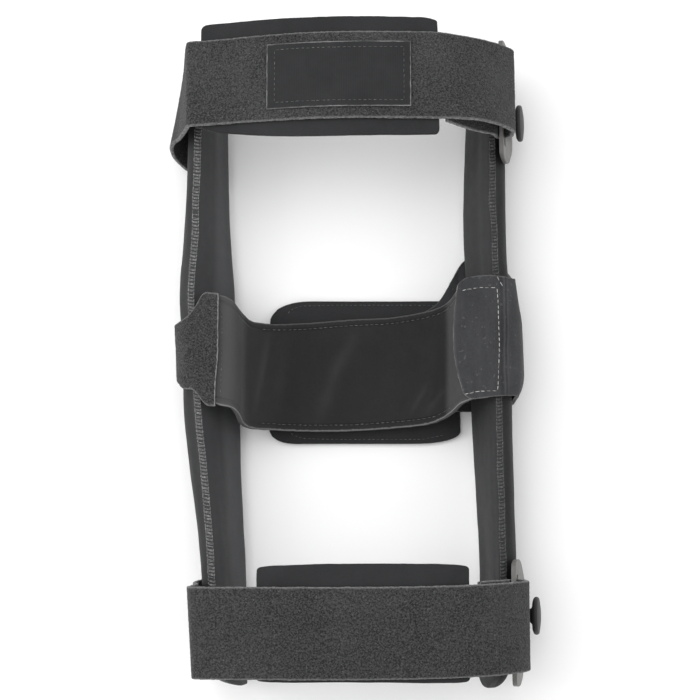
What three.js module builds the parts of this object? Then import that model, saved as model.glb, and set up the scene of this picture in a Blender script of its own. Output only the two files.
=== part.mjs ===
import * as THREE from 'three';

// A knee brace lying on its back, in millimetres: X across the knee, Y up the leg, Z from its back to its
// front. Two padded sleeves hold the side bars. A thigh strap and a calf strap cross the front, each with a
// pad behind it. A band crosses the back of the knee. Its two tabs fold round the sleeves onto a rounded pad.

// Straps
const strapWidth = 50.8;
const strapThickness = 2.6;
const strapCrest = 100;
const thighStrapRise = 153.8;
const calfStrapDrop = 162.7;
const thighLeftSpan = 96;
const thighRightSpan = 100;
const calfLeftSpan = 90.5;
const calfRightSpan = 105;

// Uprights
const halfSpan = 90;
const sleeveTop = 186;
const sleeveFoot = -199.5;
const sleeveDepth = 42;
const sleeveLift = 8;
const sleeveThickness = 16;
const seamThickness = 4.2;
const seamRounding = 0.15;
const sleeveEndRadius = 17;

// Pads and label
const padThickness = 6;
const padEdgeShare = 0.5;
const thighPadHeight = 69.8;
const thighPadLeft = 88.5;
const thighPadRight = 51.4;
const calfPadHeight = 65.4;
const calfPadRise = 5;
const calfPadLeft = 52.5;
const calfPadRight = 67.5;
const labelWidth = 82.5;
const labelHeight = 38.2;
const labelThickness = 0.9;
const labelCentreX = -6.3;

// Popliteal band, its tabs and the pad behind it
const bandWidth = 68;
const bandThickness = 3;
const bandSlack = 1.4;
const tabThickness = 2.1;
const rearPadLength = 119.5;
const rearPadHeight = 90;
const rearPadThickness = 7;
const rearPadCentreX = 9.2;
const rearPadCentreY = -9;
const rearPadCorner = 14;
const rearPadTaper = 27;

// Slot plates and buttons
const plateThickness = 2.6;
const plateDepth = 50;
const plateBarHeight = 69;
const plateMidHeight = 73;
const plateRearHeight = 46;
const plateLean = 12;
const thighPlateShift = -2.8;
const calfPlateShift = 2.7;
const barDepth = 5;
const slotDepth = 7.4;
const slotMargin = 2.6;
const slotCorner = 0.6;
const plateCorner = 3;
const plateSteps = 18;
const holeSteps = 8;
const buttonDiameter = 22.4;
const buttonThickness = 3.8;
const thighButtonStand = 5;
const calfButtonStand = 7.2;
const thighButtonShift = -9;
const calfButtonShift = 3;
const buttonRim = 1.2;
const buttonEdge = 0.45;
const stemDiameter = 8;
const stemFlare = 1.4;
const stemSetback = 17;
const stemClearance = 0.4;

// Gap between layers that touch
const layerGap = 0.4;

const sleeveFront = sleeveLift + sleeveDepth;

// Materials
const loopFabric = () => new THREE.MeshStandardMaterial({ color: 0x3c3c3e, roughness: 0.97 });
const smoothFabric = () => new THREE.MeshStandardMaterial({ color: 0x2c2d2e, roughness: 0.8 });
const paleTab = () => new THREE.MeshStandardMaterial({ color: 0x444547, roughness: 0.85 });
const moulded = (color) => new THREE.MeshStandardMaterial({ color, roughness: 0.45 });

// Smooth reading of one column of a table at a place along it.
function readTable(table, place, column) {
  const last = table.length - 1;
  const slope = (i) => {
    const before = table[Math.max(i - 1, 0)];
    const after = table[Math.min(i + 1, last)];
    return (after[column] - before[column]) / (after.at - before.at);
  };
  const found = table.findIndex((row, n) => n > 0 && place <= row.at);
  const i = found < 0 ? last - 1 : found - 1;
  const step = table[i + 1].at - table[i].at;
  const t = (place - table[i].at) / step;
  const level = THREE.MathUtils.lerp(table[i][column], table[i + 1][column], 3 * t ** 2 - 2 * t ** 3);
  return level + slope(i) * step * (t ** 3 - 2 * t ** 2 + t) + slope(i + 1) * step * (t ** 3 - t ** 2);
}

// A closed body from points and triangles, turned so that its faces point out.
function closedBody(points, triangles) {
  const volume = triangles.reduce((sum, [a, b, c]) => {
    return sum + points[a].dot(new THREE.Vector3().crossVectors(points[b], points[c]));
  }, 0);
  const index = triangles.flatMap(([a, b, c]) => (volume > 0 ? [a, b, c] : [a, c, b]));
  const geometry = new THREE.BufferGeometry().setFromPoints(points);
  geometry.setIndex(index);
  geometry.computeVertexNormals();
  return geometry;
}

// A closed body between two grids of points that have the same rows and columns.
function between(outer, inner) {
  const rows = outer.length;
  const columns = outer[0].length;
  const points = [...outer.flat(), ...inner.flat()];
  const front = (i, j) => i * columns + j;
  const back = (i, j) => rows * columns + i * columns + j;
  const triangles = [];
  const quad = (a, b, c, d) => triangles.push([a, b, c], [a, c, d]);
  for (let i = 0; i < rows - 1; i += 1) {
    for (let j = 0; j < columns - 1; j += 1) {
      quad(front(i, j), front(i + 1, j), front(i + 1, j + 1), front(i, j + 1));
      quad(back(i, j), back(i, j + 1), back(i + 1, j + 1), back(i + 1, j));
    }
    quad(front(i, 0), back(i, 0), back(i + 1, 0), front(i + 1, 0));
    quad(front(i, columns - 1), front(i + 1, columns - 1), back(i + 1, columns - 1), back(i, columns - 1));
  }
  for (let j = 0; j < columns - 1; j += 1) {
    quad(front(0, j), front(0, j + 1), back(0, j + 1), back(0, j));
    quad(front(rows - 1, j), back(rows - 1, j), back(rows - 1, j + 1), front(rows - 1, j + 1));
  }
  return closedBody(points, triangles);
}

// The direction square to a grid of points, at each of them.
function gridNormals(grid) {
  const { clamp } = THREE.MathUtils;
  const at = (i, j) => grid[clamp(i, 0, grid.length - 1)][clamp(j, 0, grid[0].length - 1)];
  return grid.map((row, i) => row.map((_, j) => {
    const along = new THREE.Vector3().subVectors(at(i + 1, j), at(i - 1, j));
    const across = new THREE.Vector3().subVectors(at(i, j + 1), at(i, j - 1));
    return along.cross(across).normalize();
  }));
}

// A grid moved square to itself, by a distance that depends on the place along it and across it.
function lifted(grid, distanceAt) {
  const normals = gridNormals(grid);
  return grid.map((row, i) => row.map((point, j) => {
    const distance = distanceAt(i / (grid.length - 1), j / (row.length - 1));
    return point.clone().addScaledVector(normals[i][j], distance);
  }));
}

// A cloth wall that has the grid in its middle.
function cloth(grid, thickness) {
  return between(lifted(grid, () => thickness / 2), lifted(grid, () => -thickness / 2));
}

// A grid of points from one list of guide points for each column.
function gridFrom(lineAt, columns, stepsBetween) {
  const lines = [];
  for (let j = 0; j <= columns; j += 1) {
    const guides = lineAt(j / columns);
    const curve = new THREE.CatmullRomCurve3(guides, false, 'centripetal');
    lines.push(curve.getPoints((guides.length - 1) * stepsBetween));
  }
  return lines[0].map((_, i) => lines.map((line) => line[i]));
}

// Sleeves. Their shares are of halfSpan for seam and rear, and of sleeveThickness for thick.
const leftSleeve = [
  { at: 0, seam: 0.86, rear: 0.68, thick: 0.96 },
  { at: 0.175, seam: 0.879, rear: 0.695, thick: 1.1 },
  { at: 0.325, seam: 0.933, rear: 0.732, thick: 1.32 },
  { at: 0.42, seam: 0.977, rear: 0.738, thick: 1.49 },
  { at: 0.51, seam: 1.01, rear: 0.756, thick: 1.4 },
  { at: 0.61, seam: 1.031, rear: 0.776, thick: 1.45 },
  { at: 0.68, seam: 1.013, rear: 0.806, thick: 1.28 },
  { at: 0.83, seam: 0.997, rear: 0.838, thick: 1.04 },
  { at: 1, seam: 0.983, rear: 0.85, thick: 0.95 },
];
const rightSleeve = [
  { at: 0, seam: 0.935, rear: 0.845, thick: 0.9 },
  { at: 0.175, seam: 0.973, rear: 0.877, thick: 0.98 },
  { at: 0.265, seam: 0.968, rear: 0.858, thick: 1.02 },
  { at: 0.42, seam: 0.957, rear: 0.824, thick: 1.1 },
  { at: 0.61, seam: 0.948, rear: 0.792, thick: 1.14 },
  { at: 0.75, seam: 0.93, rear: 0.77, thick: 1.16 },
  { at: 0.88, seam: 0.928, rear: 0.798, thick: 1.06 },
  { at: 1, seam: 0.92, rear: 0.83, thick: 0.95 },
];
// How thick and how deep a sleeve's ends stay, and where along its depth each end rounds off.
const tipShare = 0.35;
const bluntShare = 0.22;
const leftTip = 0.12;
const evenTip = 0.5;

// The outer face of a sleeve, from its seam to its rear fold, and then its flat inner face.
const sleeveOutside = [
  { along: 0.9, out: 0.33 },
  { along: 0.79, out: 0.72 },
  { along: 0.62, out: 0.97 },
  { along: 0.45, out: 1 },
  { along: 0.27, out: 0.92 },
  { along: 0.12, out: 0.68 },
  { along: 0.02, out: 0.36 },
  { along: 0, out: 0.14 },
];
const sleeveInside = [
  { along: 0.03, out: 0 },
  { along: 0.35, out: -0.02 },
  { along: 0.7, out: -0.02 },
];

// One section of a sleeve. Out is counted from the middle of the knee, whatever the side.
function sleeveSection(table, y, full = 1, tip = evenTip) {
  const at = (y - sleeveFoot) / (sleeveTop - sleeveFoot);
  const seam = readTable(table, at, 'seam') * halfSpan;
  const rear = readTable(table, at, 'rear') * halfSpan;
  const thickness = readTable(table, at, 'thick') * sleeveThickness;
  const axis = new THREE.Vector2(seam - rear, sleeveDepth);
  const depth = axis.length();
  axis.normalize();
  const square = new THREE.Vector2(axis.y, -axis.x);
  const place = (along, out) => {
    const slide = depth * tip + (along - depth * tip) * full;
    const push = out * THREE.MathUtils.lerp(tipShare, 1, full);
    return new THREE.Vector2(rear, sleeveLift).addScaledVector(axis, slide).addScaledVector(square, push);
  };
  const edge = seamThickness * seamRounding;
  const points = [
    place(depth, edge),
    place(depth, seamThickness - edge),
    place(depth - edge, seamThickness),
    ...sleeveOutside.map((row) => place(row.along * depth, row.out * thickness)),
    ...sleeveInside.map((row) => place(row.along * depth, row.out * thickness)),
    place(depth - edge, 0),
  ];
  return {
    points,
    seam,
    rear,
    outermost: Math.max(...points.map((point) => point.x)),
    lowest: Math.min(...points.map((point) => point.y)),
  };
}

// A sleeve with half-round ends.
function sleeve(table, side, tip) {
  const length = sleeveTop - sleeveFoot;
  const roundSteps = [0, 18, 36, 54, 72, 90].map((degrees) => {
    return sleeveEndRadius * (1 - Math.cos(THREE.MathUtils.degToRad(degrees)));
  });
  const middleSteps = 26;
  const stations = [...roundSteps];
  for (let n = 1; n < middleSteps; n += 1) {
    stations.push(sleeveEndRadius + (length - 2 * sleeveEndRadius) * n / middleSteps);
  }
  stations.push(...roundSteps.map((step) => length - step).reverse());
  const rings = stations.map((station) => {
    const fromEnd = Math.min(station, length - station);
    const open = Math.min(fromEnd / sleeveEndRadius, 1);
    const full = Math.max(Math.sqrt(1 - (1 - open) ** 2), bluntShare);
    const end = station < length / 2 ? tip : evenTip;
    const { points } = sleeveSection(table, sleeveFoot + station, full, end);
    return points.map((point) => new THREE.Vector3(side * point.x, sleeveFoot + station, point.y));
  });
  return lofted(rings);
}

// A closed body through rings of points, with its two ends flat.
function lofted(rings) {
  const count = rings[0].length;
  const points = rings.flat();
  const triangles = [];
  for (let i = 0; i < rings.length - 1; i += 1) {
    for (let j = 0; j < count; j += 1) {
      const next = (j + 1) % count;
      const a = i * count + j;
      const b = (i + 1) * count + j;
      const c = (i + 1) * count + next;
      const d = i * count + next;
      triangles.push([a, b, c], [a, c, d]);
    }
  }
  for (const { ring, start, first } of [
    { ring: rings[0], start: 0, first: true },
    { ring: rings.at(-1), start: (rings.length - 1) * count, first: false },
  ]) {
    const sum = ring.reduce((total, point) => total.add(point), new THREE.Vector3());
    const middle = points.push(sum.divideScalar(count)) - 1;
    for (let j = 0; j < count; j += 1) {
      const next = (j + 1) % count;
      triangles.push(first ? [middle, start + j, start + next] : [middle, start + next, start + j]);
    }
  }
  return closedBody(points, triangles);
}

// The way round the outside of a sleeve, from front to back. Rise is a share of the sleeve's depth above
// the lowest layer, inset is in cloth thicknesses, slack tells how much of the loose cloth stands off there.
const wayRound = [
  { rise: 0.92, inset: 0.3, slack: 0.35 },
  { rise: 0.7, inset: 0, slack: 0.85 },
  { rise: 0.45, inset: 0, slack: 1 },
  { rise: 0.24, inset: 0, slack: 0.8 },
  { rise: 0.09, inset: 0.7, slack: 0.45 },
  { rise: 0.01, inset: 2.6, slack: 0.1 },
  { rise: 0, inset: 5.2, slack: 0 },
];
function wrapRound(table, side, y, thickness, slack, drift = 0) {
  const offset = layerGap + thickness / 2;
  return wayRound.map((row, n) => {
    const here = y + drift * ((n + 1) / wayRound.length) ** 2;
    const { outermost, lowest } = sleeveSection(table, here);
    const x = outermost + offset - row.inset * thickness + row.slack * slack;
    const z = lowest - offset + row.rise * (sleeveFront - lowest + offset);
    return new THREE.Vector3(side * x, here, z);
  });
}

// The layer that passes behind a sleeve, as high as the sleeve lets it.
function behindSleeve(table, side, y, thickness, inset) {
  const { rear, lowest } = sleeveSection(table, y);
  return new THREE.Vector3(side * (rear + inset), y, lowest - layerGap - thickness / 2);
}

// Slot plates. A plate leans over the sleeve, with its bar to the front.
function plateFrame(y) {
  const lean = THREE.MathUtils.degToRad(plateLean);
  const forward = new THREE.Vector3(-Math.sin(lean), 0, Math.cos(lean));
  const outward = new THREE.Vector3(Math.cos(lean), 0, Math.sin(lean));
  const reach = [-0.4, 0, 0.4].flatMap((share) => {
    return sleeveSection(rightSleeve, y + share * plateMidHeight).points;
  });
  const touch = Math.max(...reach.map((point) => point.x * outward.x + point.y * outward.z));
  const stemHeight = sleeveLift + sleeveDepth / 2;
  const middle = touch + layerGap + plateThickness / 2;
  const origin = new THREE.Vector3((middle - stemHeight * outward.z) / outward.x, y, stemHeight);
  const bar = origin.clone().addScaledVector(forward, plateDepth - stemSetback - barDepth / 2);
  return { forward, outward, origin, bar };
}

// The outline of one half of a plate, from the rear. Back is a share of its depth from its front edge, half is
// a share of half its height in the middle.
const plateSide = [
  { back: 0.97, half: plateRearHeight / plateMidHeight },
  { back: 0.9, half: 0.71 },
  { back: 0.8, half: 0.79 },
  { back: 0.62, half: 0.93 },
  { back: 0.4, half: 1 },
  { back: 0.16, half: 0.99 },
  { back: 0.03, half: plateBarHeight / plateMidHeight },
];
function slotPlate(y, holeShift) {
  const { forward, outward, origin } = plateFrame(y);
  const front = plateDepth - stemSetback;
  const rear = -stemSetback;
  const half = plateMidHeight / 2;
  const guides = plateSide.map((row) => new THREE.Vector2(row.half * half, front - row.back * plateDepth));
  const upperSide = new THREE.SplineCurve(guides).getPoints(plateSteps);
  const lowerSide = upperSide.map((point) => new THREE.Vector2(-point.x, point.y)).reverse();
  const frontCorner = plateBarHeight / 2 - plateCorner;
  const rearCorner = plateRearHeight / 2 - plateCorner;
  const shape = new THREE.Shape([
    new THREE.Vector2(-rearCorner, rear),
    new THREE.Vector2(rearCorner, rear),
    ...upperSide,
    new THREE.Vector2(frontCorner, front),
    new THREE.Vector2(-frontCorner, front),
    ...lowerSide,
  ]);
  const slotHalf = strapWidth / 2 + slotMargin;
  const slotFront = front - barDepth;
  const slotRear = slotFront - slotDepth;
  const slot = new THREE.Path([
    new THREE.Vector2(-slotHalf, slotRear + slotCorner),
    new THREE.Vector2(-slotHalf + slotCorner, slotRear),
    new THREE.Vector2(slotHalf - slotCorner, slotRear),
    new THREE.Vector2(slotHalf, slotRear + slotCorner),
    new THREE.Vector2(slotHalf, slotFront - slotCorner),
    new THREE.Vector2(slotHalf - slotCorner, slotFront),
    new THREE.Vector2(-slotHalf + slotCorner, slotFront),
    new THREE.Vector2(-slotHalf, slotFront - slotCorner),
  ]);
  const hole = new THREE.Path();
  hole.absarc(holeShift, 0, stemDiameter / 2 + stemClearance, 0, Math.PI * 2, true);
  shape.holes.push(slot, hole);
  const geometry = new THREE.ExtrudeGeometry(shape, {
    depth: plateThickness,
    bevelEnabled: false,
    curveSegments: holeSteps,
  });
  geometry.translate(0, 0, -plateThickness / 2);
  const along = new THREE.Vector3(0, 1, 0);
  const place = new THREE.Matrix4().makeBasis(along, forward, outward);
  place.setPosition(origin);
  return geometry.applyMatrix4(place);
}

// A domed button on a plain stem that goes through the plate to the sleeve.
function button(y, holeShift, stand) {
  const { outward, origin } = plateFrame(y);
  origin.y += holeShift;
  const near = [-0.5, 0, 0.5].flatMap((share) => {
    const { points } = sleeveSection(rightSleeve, origin.y + share * stemDiameter);
    return points.flatMap((point, n) => {
      const next = points[(n + 1) % points.length];
      return [0, 0.25, 0.5, 0.75].map((part) => point.clone().lerp(next, part));
    });
  }).filter((point) => Math.abs(point.y - origin.z) < stemDiameter);
  const reach = Math.max(...near.map((point) => point.x * outward.x + point.y * outward.z));
  const start = reach + layerGap - origin.x * outward.x - origin.z * outward.z;
  const disc = plateThickness / 2 + stand;
  const radius = buttonDiameter / 2;
  const dome = [0, 22.5, 45, 67.5].map((degrees) => {
    const angle = THREE.MathUtils.degToRad(degrees);
    const height = THREE.MathUtils.lerp(buttonEdge, 1, Math.sin(angle));
    return new THREE.Vector2(radius * Math.cos(angle), disc + buttonThickness * height);
  });
  const profile = [
    new THREE.Vector2(0, start),
    new THREE.Vector2(stemDiameter / 2, start),
    new THREE.Vector2(stemDiameter / 2, disc - stemFlare / 2),
    new THREE.Vector2(stemDiameter / 2 + stemFlare, disc),
    new THREE.Vector2(radius - buttonRim, disc),
    ...dome,
    new THREE.Vector2(0, disc + buttonThickness),
  ];
  const geometry = new THREE.LatheGeometry(profile, 20);
  const turn = new THREE.Quaternion().setFromUnitVectors(new THREE.Vector3(0, 1, 0), outward);
  return geometry.applyQuaternion(turn).translate(origin.x, origin.y, origin.z);
}

// The loop of a strap round a plate's bar, from the outside through the slot to the inside.
// Forward and out are in strap thicknesses from the middle of the bar.
const barLoop = [
  { forward: 1.3, out: 2.5 },
  { forward: -0.35, out: 2.25 },
  { forward: -1.5, out: 1.15 },
  { forward: -1.75, out: 0 },
  { forward: -1.35, out: -1.0 },
  { forward: 0, out: -1.3 },
  { forward: 1.5, out: -1.35 },
];
function loopRoundBar(plate, y) {
  const reach = strapThickness;
  return barLoop.map((row) => {
    const point = plate.bar.clone();
    point.addScaledVector(plate.forward, row.forward * reach);
    point.addScaledVector(plate.outward, row.out * reach);
    point.y = y;
    return point;
  });
}

// The front runs of the straps. Across is a share of the strap's reach on that side. Upper and lower tell how
// much lower those edges lie there, as shares of how far the strap's front stands above the sleeves.
const thighFront = [
  { across: -0.995, upper: 0.5, lower: 0.5 },
  { across: -0.985, upper: 0.43, lower: 0.43 },
  { across: -0.94, upper: 0.395, lower: 0.395 },
  { across: -0.82, upper: 0.35, lower: 0.33 },
  { across: -0.51, upper: 0.16, lower: 0.165 },
  { across: -0.26, upper: 0.05, lower: 0.055 },
  { across: 0, upper: 0, lower: 0 },
  { across: 0.3, upper: 0, lower: 0 },
  { across: 0.51, upper: 0.02, lower: 0 },
  { across: 0.645, upper: 0.14, lower: 0.01 },
  { across: 0.775, upper: 0.29, lower: 0.1 },
  { across: 0.89, upper: 0.48, lower: 0.33 },
  { across: 0.965, upper: 0.68, lower: 0.6 },
];
const calfFront = [
  { across: -0.995, upper: 0.15, lower: 0.15 },
  { across: -0.975, upper: 0.085, lower: 0.085 },
  { across: -0.92, upper: 0.06, lower: 0.06 },
  { across: -0.7, upper: 0.035, lower: 0.035 },
  { across: -0.35, upper: 0.005, lower: 0.005 },
  { across: 0, upper: 0, lower: 0 },
  { across: 0.35, upper: 0.02, lower: 0.02 },
  { across: 0.6, upper: 0.075, lower: 0.07 },
  { across: 0.78, upper: 0.19, lower: 0.17 },
  { across: 0.9, upper: 0.38, lower: 0.34 },
  { across: 0.965, upper: 0.58, lower: 0.55 },
];
function frontRun(kind, y, share, turn) {
  const { table, leftSpan, rightSpan, lean } = kind;
  const crest = strapCrest - strapThickness / 2;
  return table.map((row) => {
    const fall = THREE.MathUtils.lerp(row.upper, row.lower, share) * (strapCrest - sleeveFront);
    const tuck = 1 - lean * share * row.across ** 4;
    const x = row.across * (row.across < 0 ? leftSpan * tuck : rightSpan);
    return new THREE.Vector3(x, y + turn * Math.max(row.across, 0) ** 2, crest - fall);
  });
}

const thighPlate = plateFrame(thighStrapRise + thighPlateShift);
const calfPlate = plateFrame(-calfStrapDrop + calfPlateShift);
const flareEase = 1.15;

// The end of a strap, folded back inside and fastened to its own inner face. Over and down are shares of the
// way from the loop to that end.
const returnTable = [
  { over: 0.45, down: 0.36 },
  { over: 0.8, down: 0.76 },
  { over: 1, down: 1 },
];
function returnRun(last, end, y) {
  return returnTable.map((row) => new THREE.Vector3(
    THREE.MathUtils.lerp(last.x, end.x, row.over),
    y,
    THREE.MathUtils.lerp(last.z, end.y, row.down),
  ));
}

// The middle line of a strap, from behind the left sleeve to its folded end.
function strapLine(kind, share) {
  const { middle, plate, turn, drift, flare, flareEdge, returnEnd } = kind;
  const y = middle + (0.5 - share) * strapWidth;
  const loose = flare * (flareEdge === 'lower' ? share : 1 - share) ** flareEase;
  const wrap = wrapRound(leftSleeve, -1, y, strapThickness, loose, drift).reverse();
  const front = frontRun(kind, y, share, turn);
  const loop = loopRoundBar(plate, y + turn);
  const lies = front.find((point) => point.x > returnEnd);
  const before = front[front.indexOf(lies) - 1];
  const height = THREE.MathUtils.mapLinear(returnEnd, before.x, lies.x, before.z, lies.z);
  const end = new THREE.Vector2(returnEnd, height - strapThickness - layerGap * 2);
  return [
    behindSleeve(leftSleeve, -1, y + drift, strapThickness, 0),
    ...wrap,
    ...front,
    ...loop,
    ...returnRun(loop.at(-1), end, y + turn),
  ];
}

const thighKind = {
  table: thighFront,
  leftSpan: thighLeftSpan,
  rightSpan: thighRightSpan,
  middle: thighStrapRise,
  plate: thighPlate,
  turn: thighPlateShift * 0.5,
  lean: 0,
  drift: -20,
  flare: 8.6,
  flareEdge: 'lower',
  returnEnd: thighPadRight + 4.2,
};
const calfKind = {
  table: calfFront,
  leftSpan: calfLeftSpan,
  rightSpan: calfRightSpan,
  middle: -calfStrapDrop,
  plate: calfPlate,
  turn: calfPlateShift,
  lean: 0.037,
  drift: 2,
  flare: 2.5,
  flareEdge: 'upper',
  returnEnd: calfPadRight + 4.8,
};

// The pads and the label follow the front run of their strap, which each of their columns is set against.
// Tall and raised are shares of their height.
const plainShape = [
  { at: 0, tall: 1, raised: 0 },
  { at: 1, tall: 1, raised: 0 },
];
const thighPadShape = [
  { at: 0, tall: 0.88, raised: 0.065 },
  { at: 0.03, tall: 0.93, raised: 0.055 },
  { at: 0.4, tall: 1.01, raised: 0.005 },
  { at: 0.95, tall: 0.99, raised: 0 },
  { at: 1, tall: 0.96, raised: -0.01 },
];
const calfPadShape = [
  { at: 0, tall: 0.95, raised: 0 },
  { at: 0.04, tall: 0.98, raised: 0 },
  { at: 0.5, tall: 1.01, raised: 0.01 },
  { at: 0.96, tall: 1, raised: 0 },
  { at: 1, tall: 0.97, raised: 0 },
];
const guideSteps = 8;
function followStrap(kind, span, centre, height, away, mesh, shape = plainShape) {
  const { steps, columns } = mesh;
  const grid = [];
  for (let i = 0; i <= steps; i += 1) {
    const x = THREE.MathUtils.lerp(span.from, span.to, i / steps);
    const tall = readTable(shape, i / steps, 'tall') * height;
    const raised = readTable(shape, i / steps, 'raised') * height;
    const row = [];
    for (let j = 0; j <= columns; j += 1) {
      const y = centre + raised + (0.5 - j / columns) * tall;
      const share = THREE.MathUtils.clamp((kind.middle - y) / strapWidth + 0.5, 0, 1);
      const guides = frontRun(kind, 0, share, 0);
      const curve = new THREE.CatmullRomCurve3(guides, false, 'centripetal');
      const line = curve.getPoints(guides.length * guideSteps);
      const n = Math.max(line.findIndex((point) => point.x > x), 1);
      const z = THREE.MathUtils.mapLinear(x, line[n - 1].x, line[n].x, line[n - 1].z, line[n].z);
      const tangent = new THREE.Vector3().subVectors(line[n], line[n - 1]).normalize();
      const square = new THREE.Vector3(-tangent.z, 0, tangent.x);
      row.push(new THREE.Vector3(x, y, z).addScaledVector(square, away));
    }
    grid.push(row);
  }
  return grid;
}

// A pad is flat towards the strap and thins out towards its edges on the side of the leg.
const padRoundingAcross = 1 / 8;
const padRoundingAlong = 1 / 14;
function strapPad(kind, span, centre, height, shape) {
  const away = -(strapThickness / 2 + layerGap + padThickness / 2);
  const grid = followStrap(kind, span, centre, height, away, { steps: 20, columns: 6 }, shape);
  const facing = Math.sign(gridNormals(grid)[0][0].z);
  const strapSide = lifted(grid, () => facing * padThickness / 2);
  const legSide = lifted(grid, (u, v) => {
    const fromSide = Math.min(u, 1 - u) / padRoundingAlong;
    const fromEdge = Math.min(v, 1 - v) / padRoundingAcross;
    const round = Math.sin(Math.min(1, fromSide, fromEdge) * Math.PI / 2);
    const swell = THREE.MathUtils.lerp(padEdgeShare, 1, round);
    return facing * padThickness * (0.5 - swell);
  });
  return between(strapSide, legSide);
}

function labelPatch() {
  const away = strapThickness / 2 + layerGap + labelThickness / 2;
  const span = { from: labelCentreX - labelWidth / 2, to: labelCentreX + labelWidth / 2 };
  const mesh = { steps: 12, columns: 2 };
  return cloth(followStrap(thighKind, span, thighStrapRise, labelHeight, away, mesh), labelThickness);
}

// The popliteal band. Across is a share of halfSpan, rise is 0 at its deepest and 1 where it lies on the
// sleeves, upper and lower are shares of bandWidth from the middle of the knee.
const bandTable = [
  { across: -0.93, rise: 1, upper: 0.44, lower: -0.44 },
  { across: -0.86, rise: 1, upper: 0.48, lower: -0.485 },
  { across: -0.785, rise: 0.985, upper: 0.44, lower: -0.507 },
  { across: -0.745, rise: 0.89, upper: 0.365, lower: -0.56 },
  { across: -0.725, rise: 0.66, upper: 0.34, lower: -0.63 },
  { across: -0.675, rise: 0.33, upper: 0.3, lower: -0.665 },
  { across: -0.56, rise: 0.12, upper: 0.288, lower: -0.673 },
  { across: -0.31, rise: 0.025, upper: 0.3, lower: -0.684 },
  { across: 0, rise: 0, upper: 0.334, lower: -0.68 },
  { across: 0.3, rise: 0.03, upper: 0.354, lower: -0.656 },
  { across: 0.55, rise: 0.17, upper: 0.405, lower: -0.62 },
  { across: 0.64, rise: 0.4, upper: 0.435, lower: -0.576 },
  { across: 0.69, rise: 0.69, upper: 0.478, lower: -0.532 },
  { across: 0.74, rise: 0.92, upper: 0.566, lower: -0.47 },
  { across: 0.775, rise: 0.985, upper: 0.59, lower: -0.45 },
  { across: 0.82, rise: 1, upper: 0.61, lower: -0.43 },
  { across: 0.93, rise: 1, upper: 0.61, lower: -0.41 },
];
const bandHigh = sleeveFront + layerGap + bandThickness / 2;
const bandLow = rearPadThickness + layerGap * 2 + tabThickness + bandThickness / 2 + bandSlack;
function bandLine(share) {
  return bandTable.map((row) => new THREE.Vector3(
    row.across * halfSpan,
    THREE.MathUtils.lerp(row.upper, row.lower, share) * bandWidth,
    THREE.MathUtils.lerp(bandLow, bandHigh, row.rise),
  ));
}

// The tabs. Their front part lies on the band, and their rear part on the rounded pad. Drop is in tab
// thicknesses. UpperIn and lowerIn tell how far the corners of an end are set in, as shares of halfSpan.
const tabFrontHeight = bandHigh + bandThickness / 2 + layerGap + tabThickness / 2;
const tabRearHeight = rearPadThickness + layerGap + tabThickness / 2;
const leftTabFront = [
  { across: -0.865, drop: 0, upper: 0.49, lower: -0.497 },
  { across: -0.915, drop: 0, upper: 0.495, lower: -0.492 },
  { across: -0.958, drop: 0, upper: 0.495, lower: -0.462 },
  { across: -1.03, drop: 0.2, upper: 0.347, lower: -0.352 },
  { across: -1.085, drop: 1, upper: 0.274, lower: -0.345 },
];
const leftTabWrap = { upper: 0.231, lower: -0.275 };
const leftTabRear = [
  { across: -0.74, upper: 0.22, lower: -0.25 },
  { across: -0.64, upper: 0.2, lower: -0.24 },
  { across: -0.55, upper: 0.2, lower: -0.24 },
  { across: -0.42, upper: 0.2, lower: -0.24 },
];
const rightTabFront = [
  { across: 0.678, drop: 0, upper: 0.56, lower: -0.39, upperIn: 0.03, lowerIn: 0.068 },
  { across: 0.705, drop: 0, upper: 0.59, lower: -0.4, upperIn: 0.02, lowerIn: 0.05 },
  { across: 0.75, drop: 0, upper: 0.622, lower: -0.42, upperIn: 0.01, lowerIn: 0.02 },
  { across: 0.81, drop: 0, upper: 0.637, lower: -0.433 },
  { across: 0.89, drop: 0, upper: 0.645, lower: -0.42 },
  { across: 0.96, drop: 0.1, upper: 0.645, lower: -0.41 },
];
const rightTabWrap = { upper: 0.63, lower: -0.395 };
const rightTabRear = [
  { across: 0.815, upper: 0.925, lower: -0.5 },
  { across: 0.765, upper: 0.85, lower: -0.5 },
  { across: 0.7, upper: 0.7, lower: -0.49 },
  { across: 0.6, upper: 0.49, lower: -0.45 },
  { across: 0.5, upper: 0.4, lower: -0.42 },
];

function tabLine(share, kind) {
  const { table, side, front, wrap, rear, slack } = kind;
  const { clamp, lerp } = THREE.MathUtils;
  const height = (row) => lerp(row.upper, row.lower, share) * bandWidth;
  const fromMiddle = (2 * share - 1) ** 2;
  const frontPoints = front.map((row) => {
    const bow = (share < 0.5 ? row.upperIn ?? 0 : row.lowerIn ?? 0) * fromMiddle;
    const z = tabFrontHeight - row.drop * tabThickness;
    return new THREE.Vector3((row.across + bow) * halfSpan, height(row), z);
  });
  const y = height(wrap);
  const drift = height(rear[0]) - y;
  const round = wrapRound(table, side, y, tabThickness, slack * (1 - fromMiddle), drift);
  const behind = behindSleeve(table, side, height(rear[0]), tabThickness, tabTuck);
  const rearPoints = rear.map((row, n) => {
    const climb = clamp((n - climbStart) / climbSteps, 0, 1);
    return new THREE.Vector3(row.across * halfSpan, height(row), lerp(behind.z, tabRearHeight, climb));
  });
  return [...frontPoints, ...round, behind, ...rearPoints];
}
const tabTuck = 2;
const climbStart = 0.3;
const climbSteps = 2;
const leftTabKind = {
  table: leftSleeve,
  side: -1,
  front: leftTabFront,
  wrap: leftTabWrap,
  rear: leftTabRear,
  slack: 0.6,
};
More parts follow.
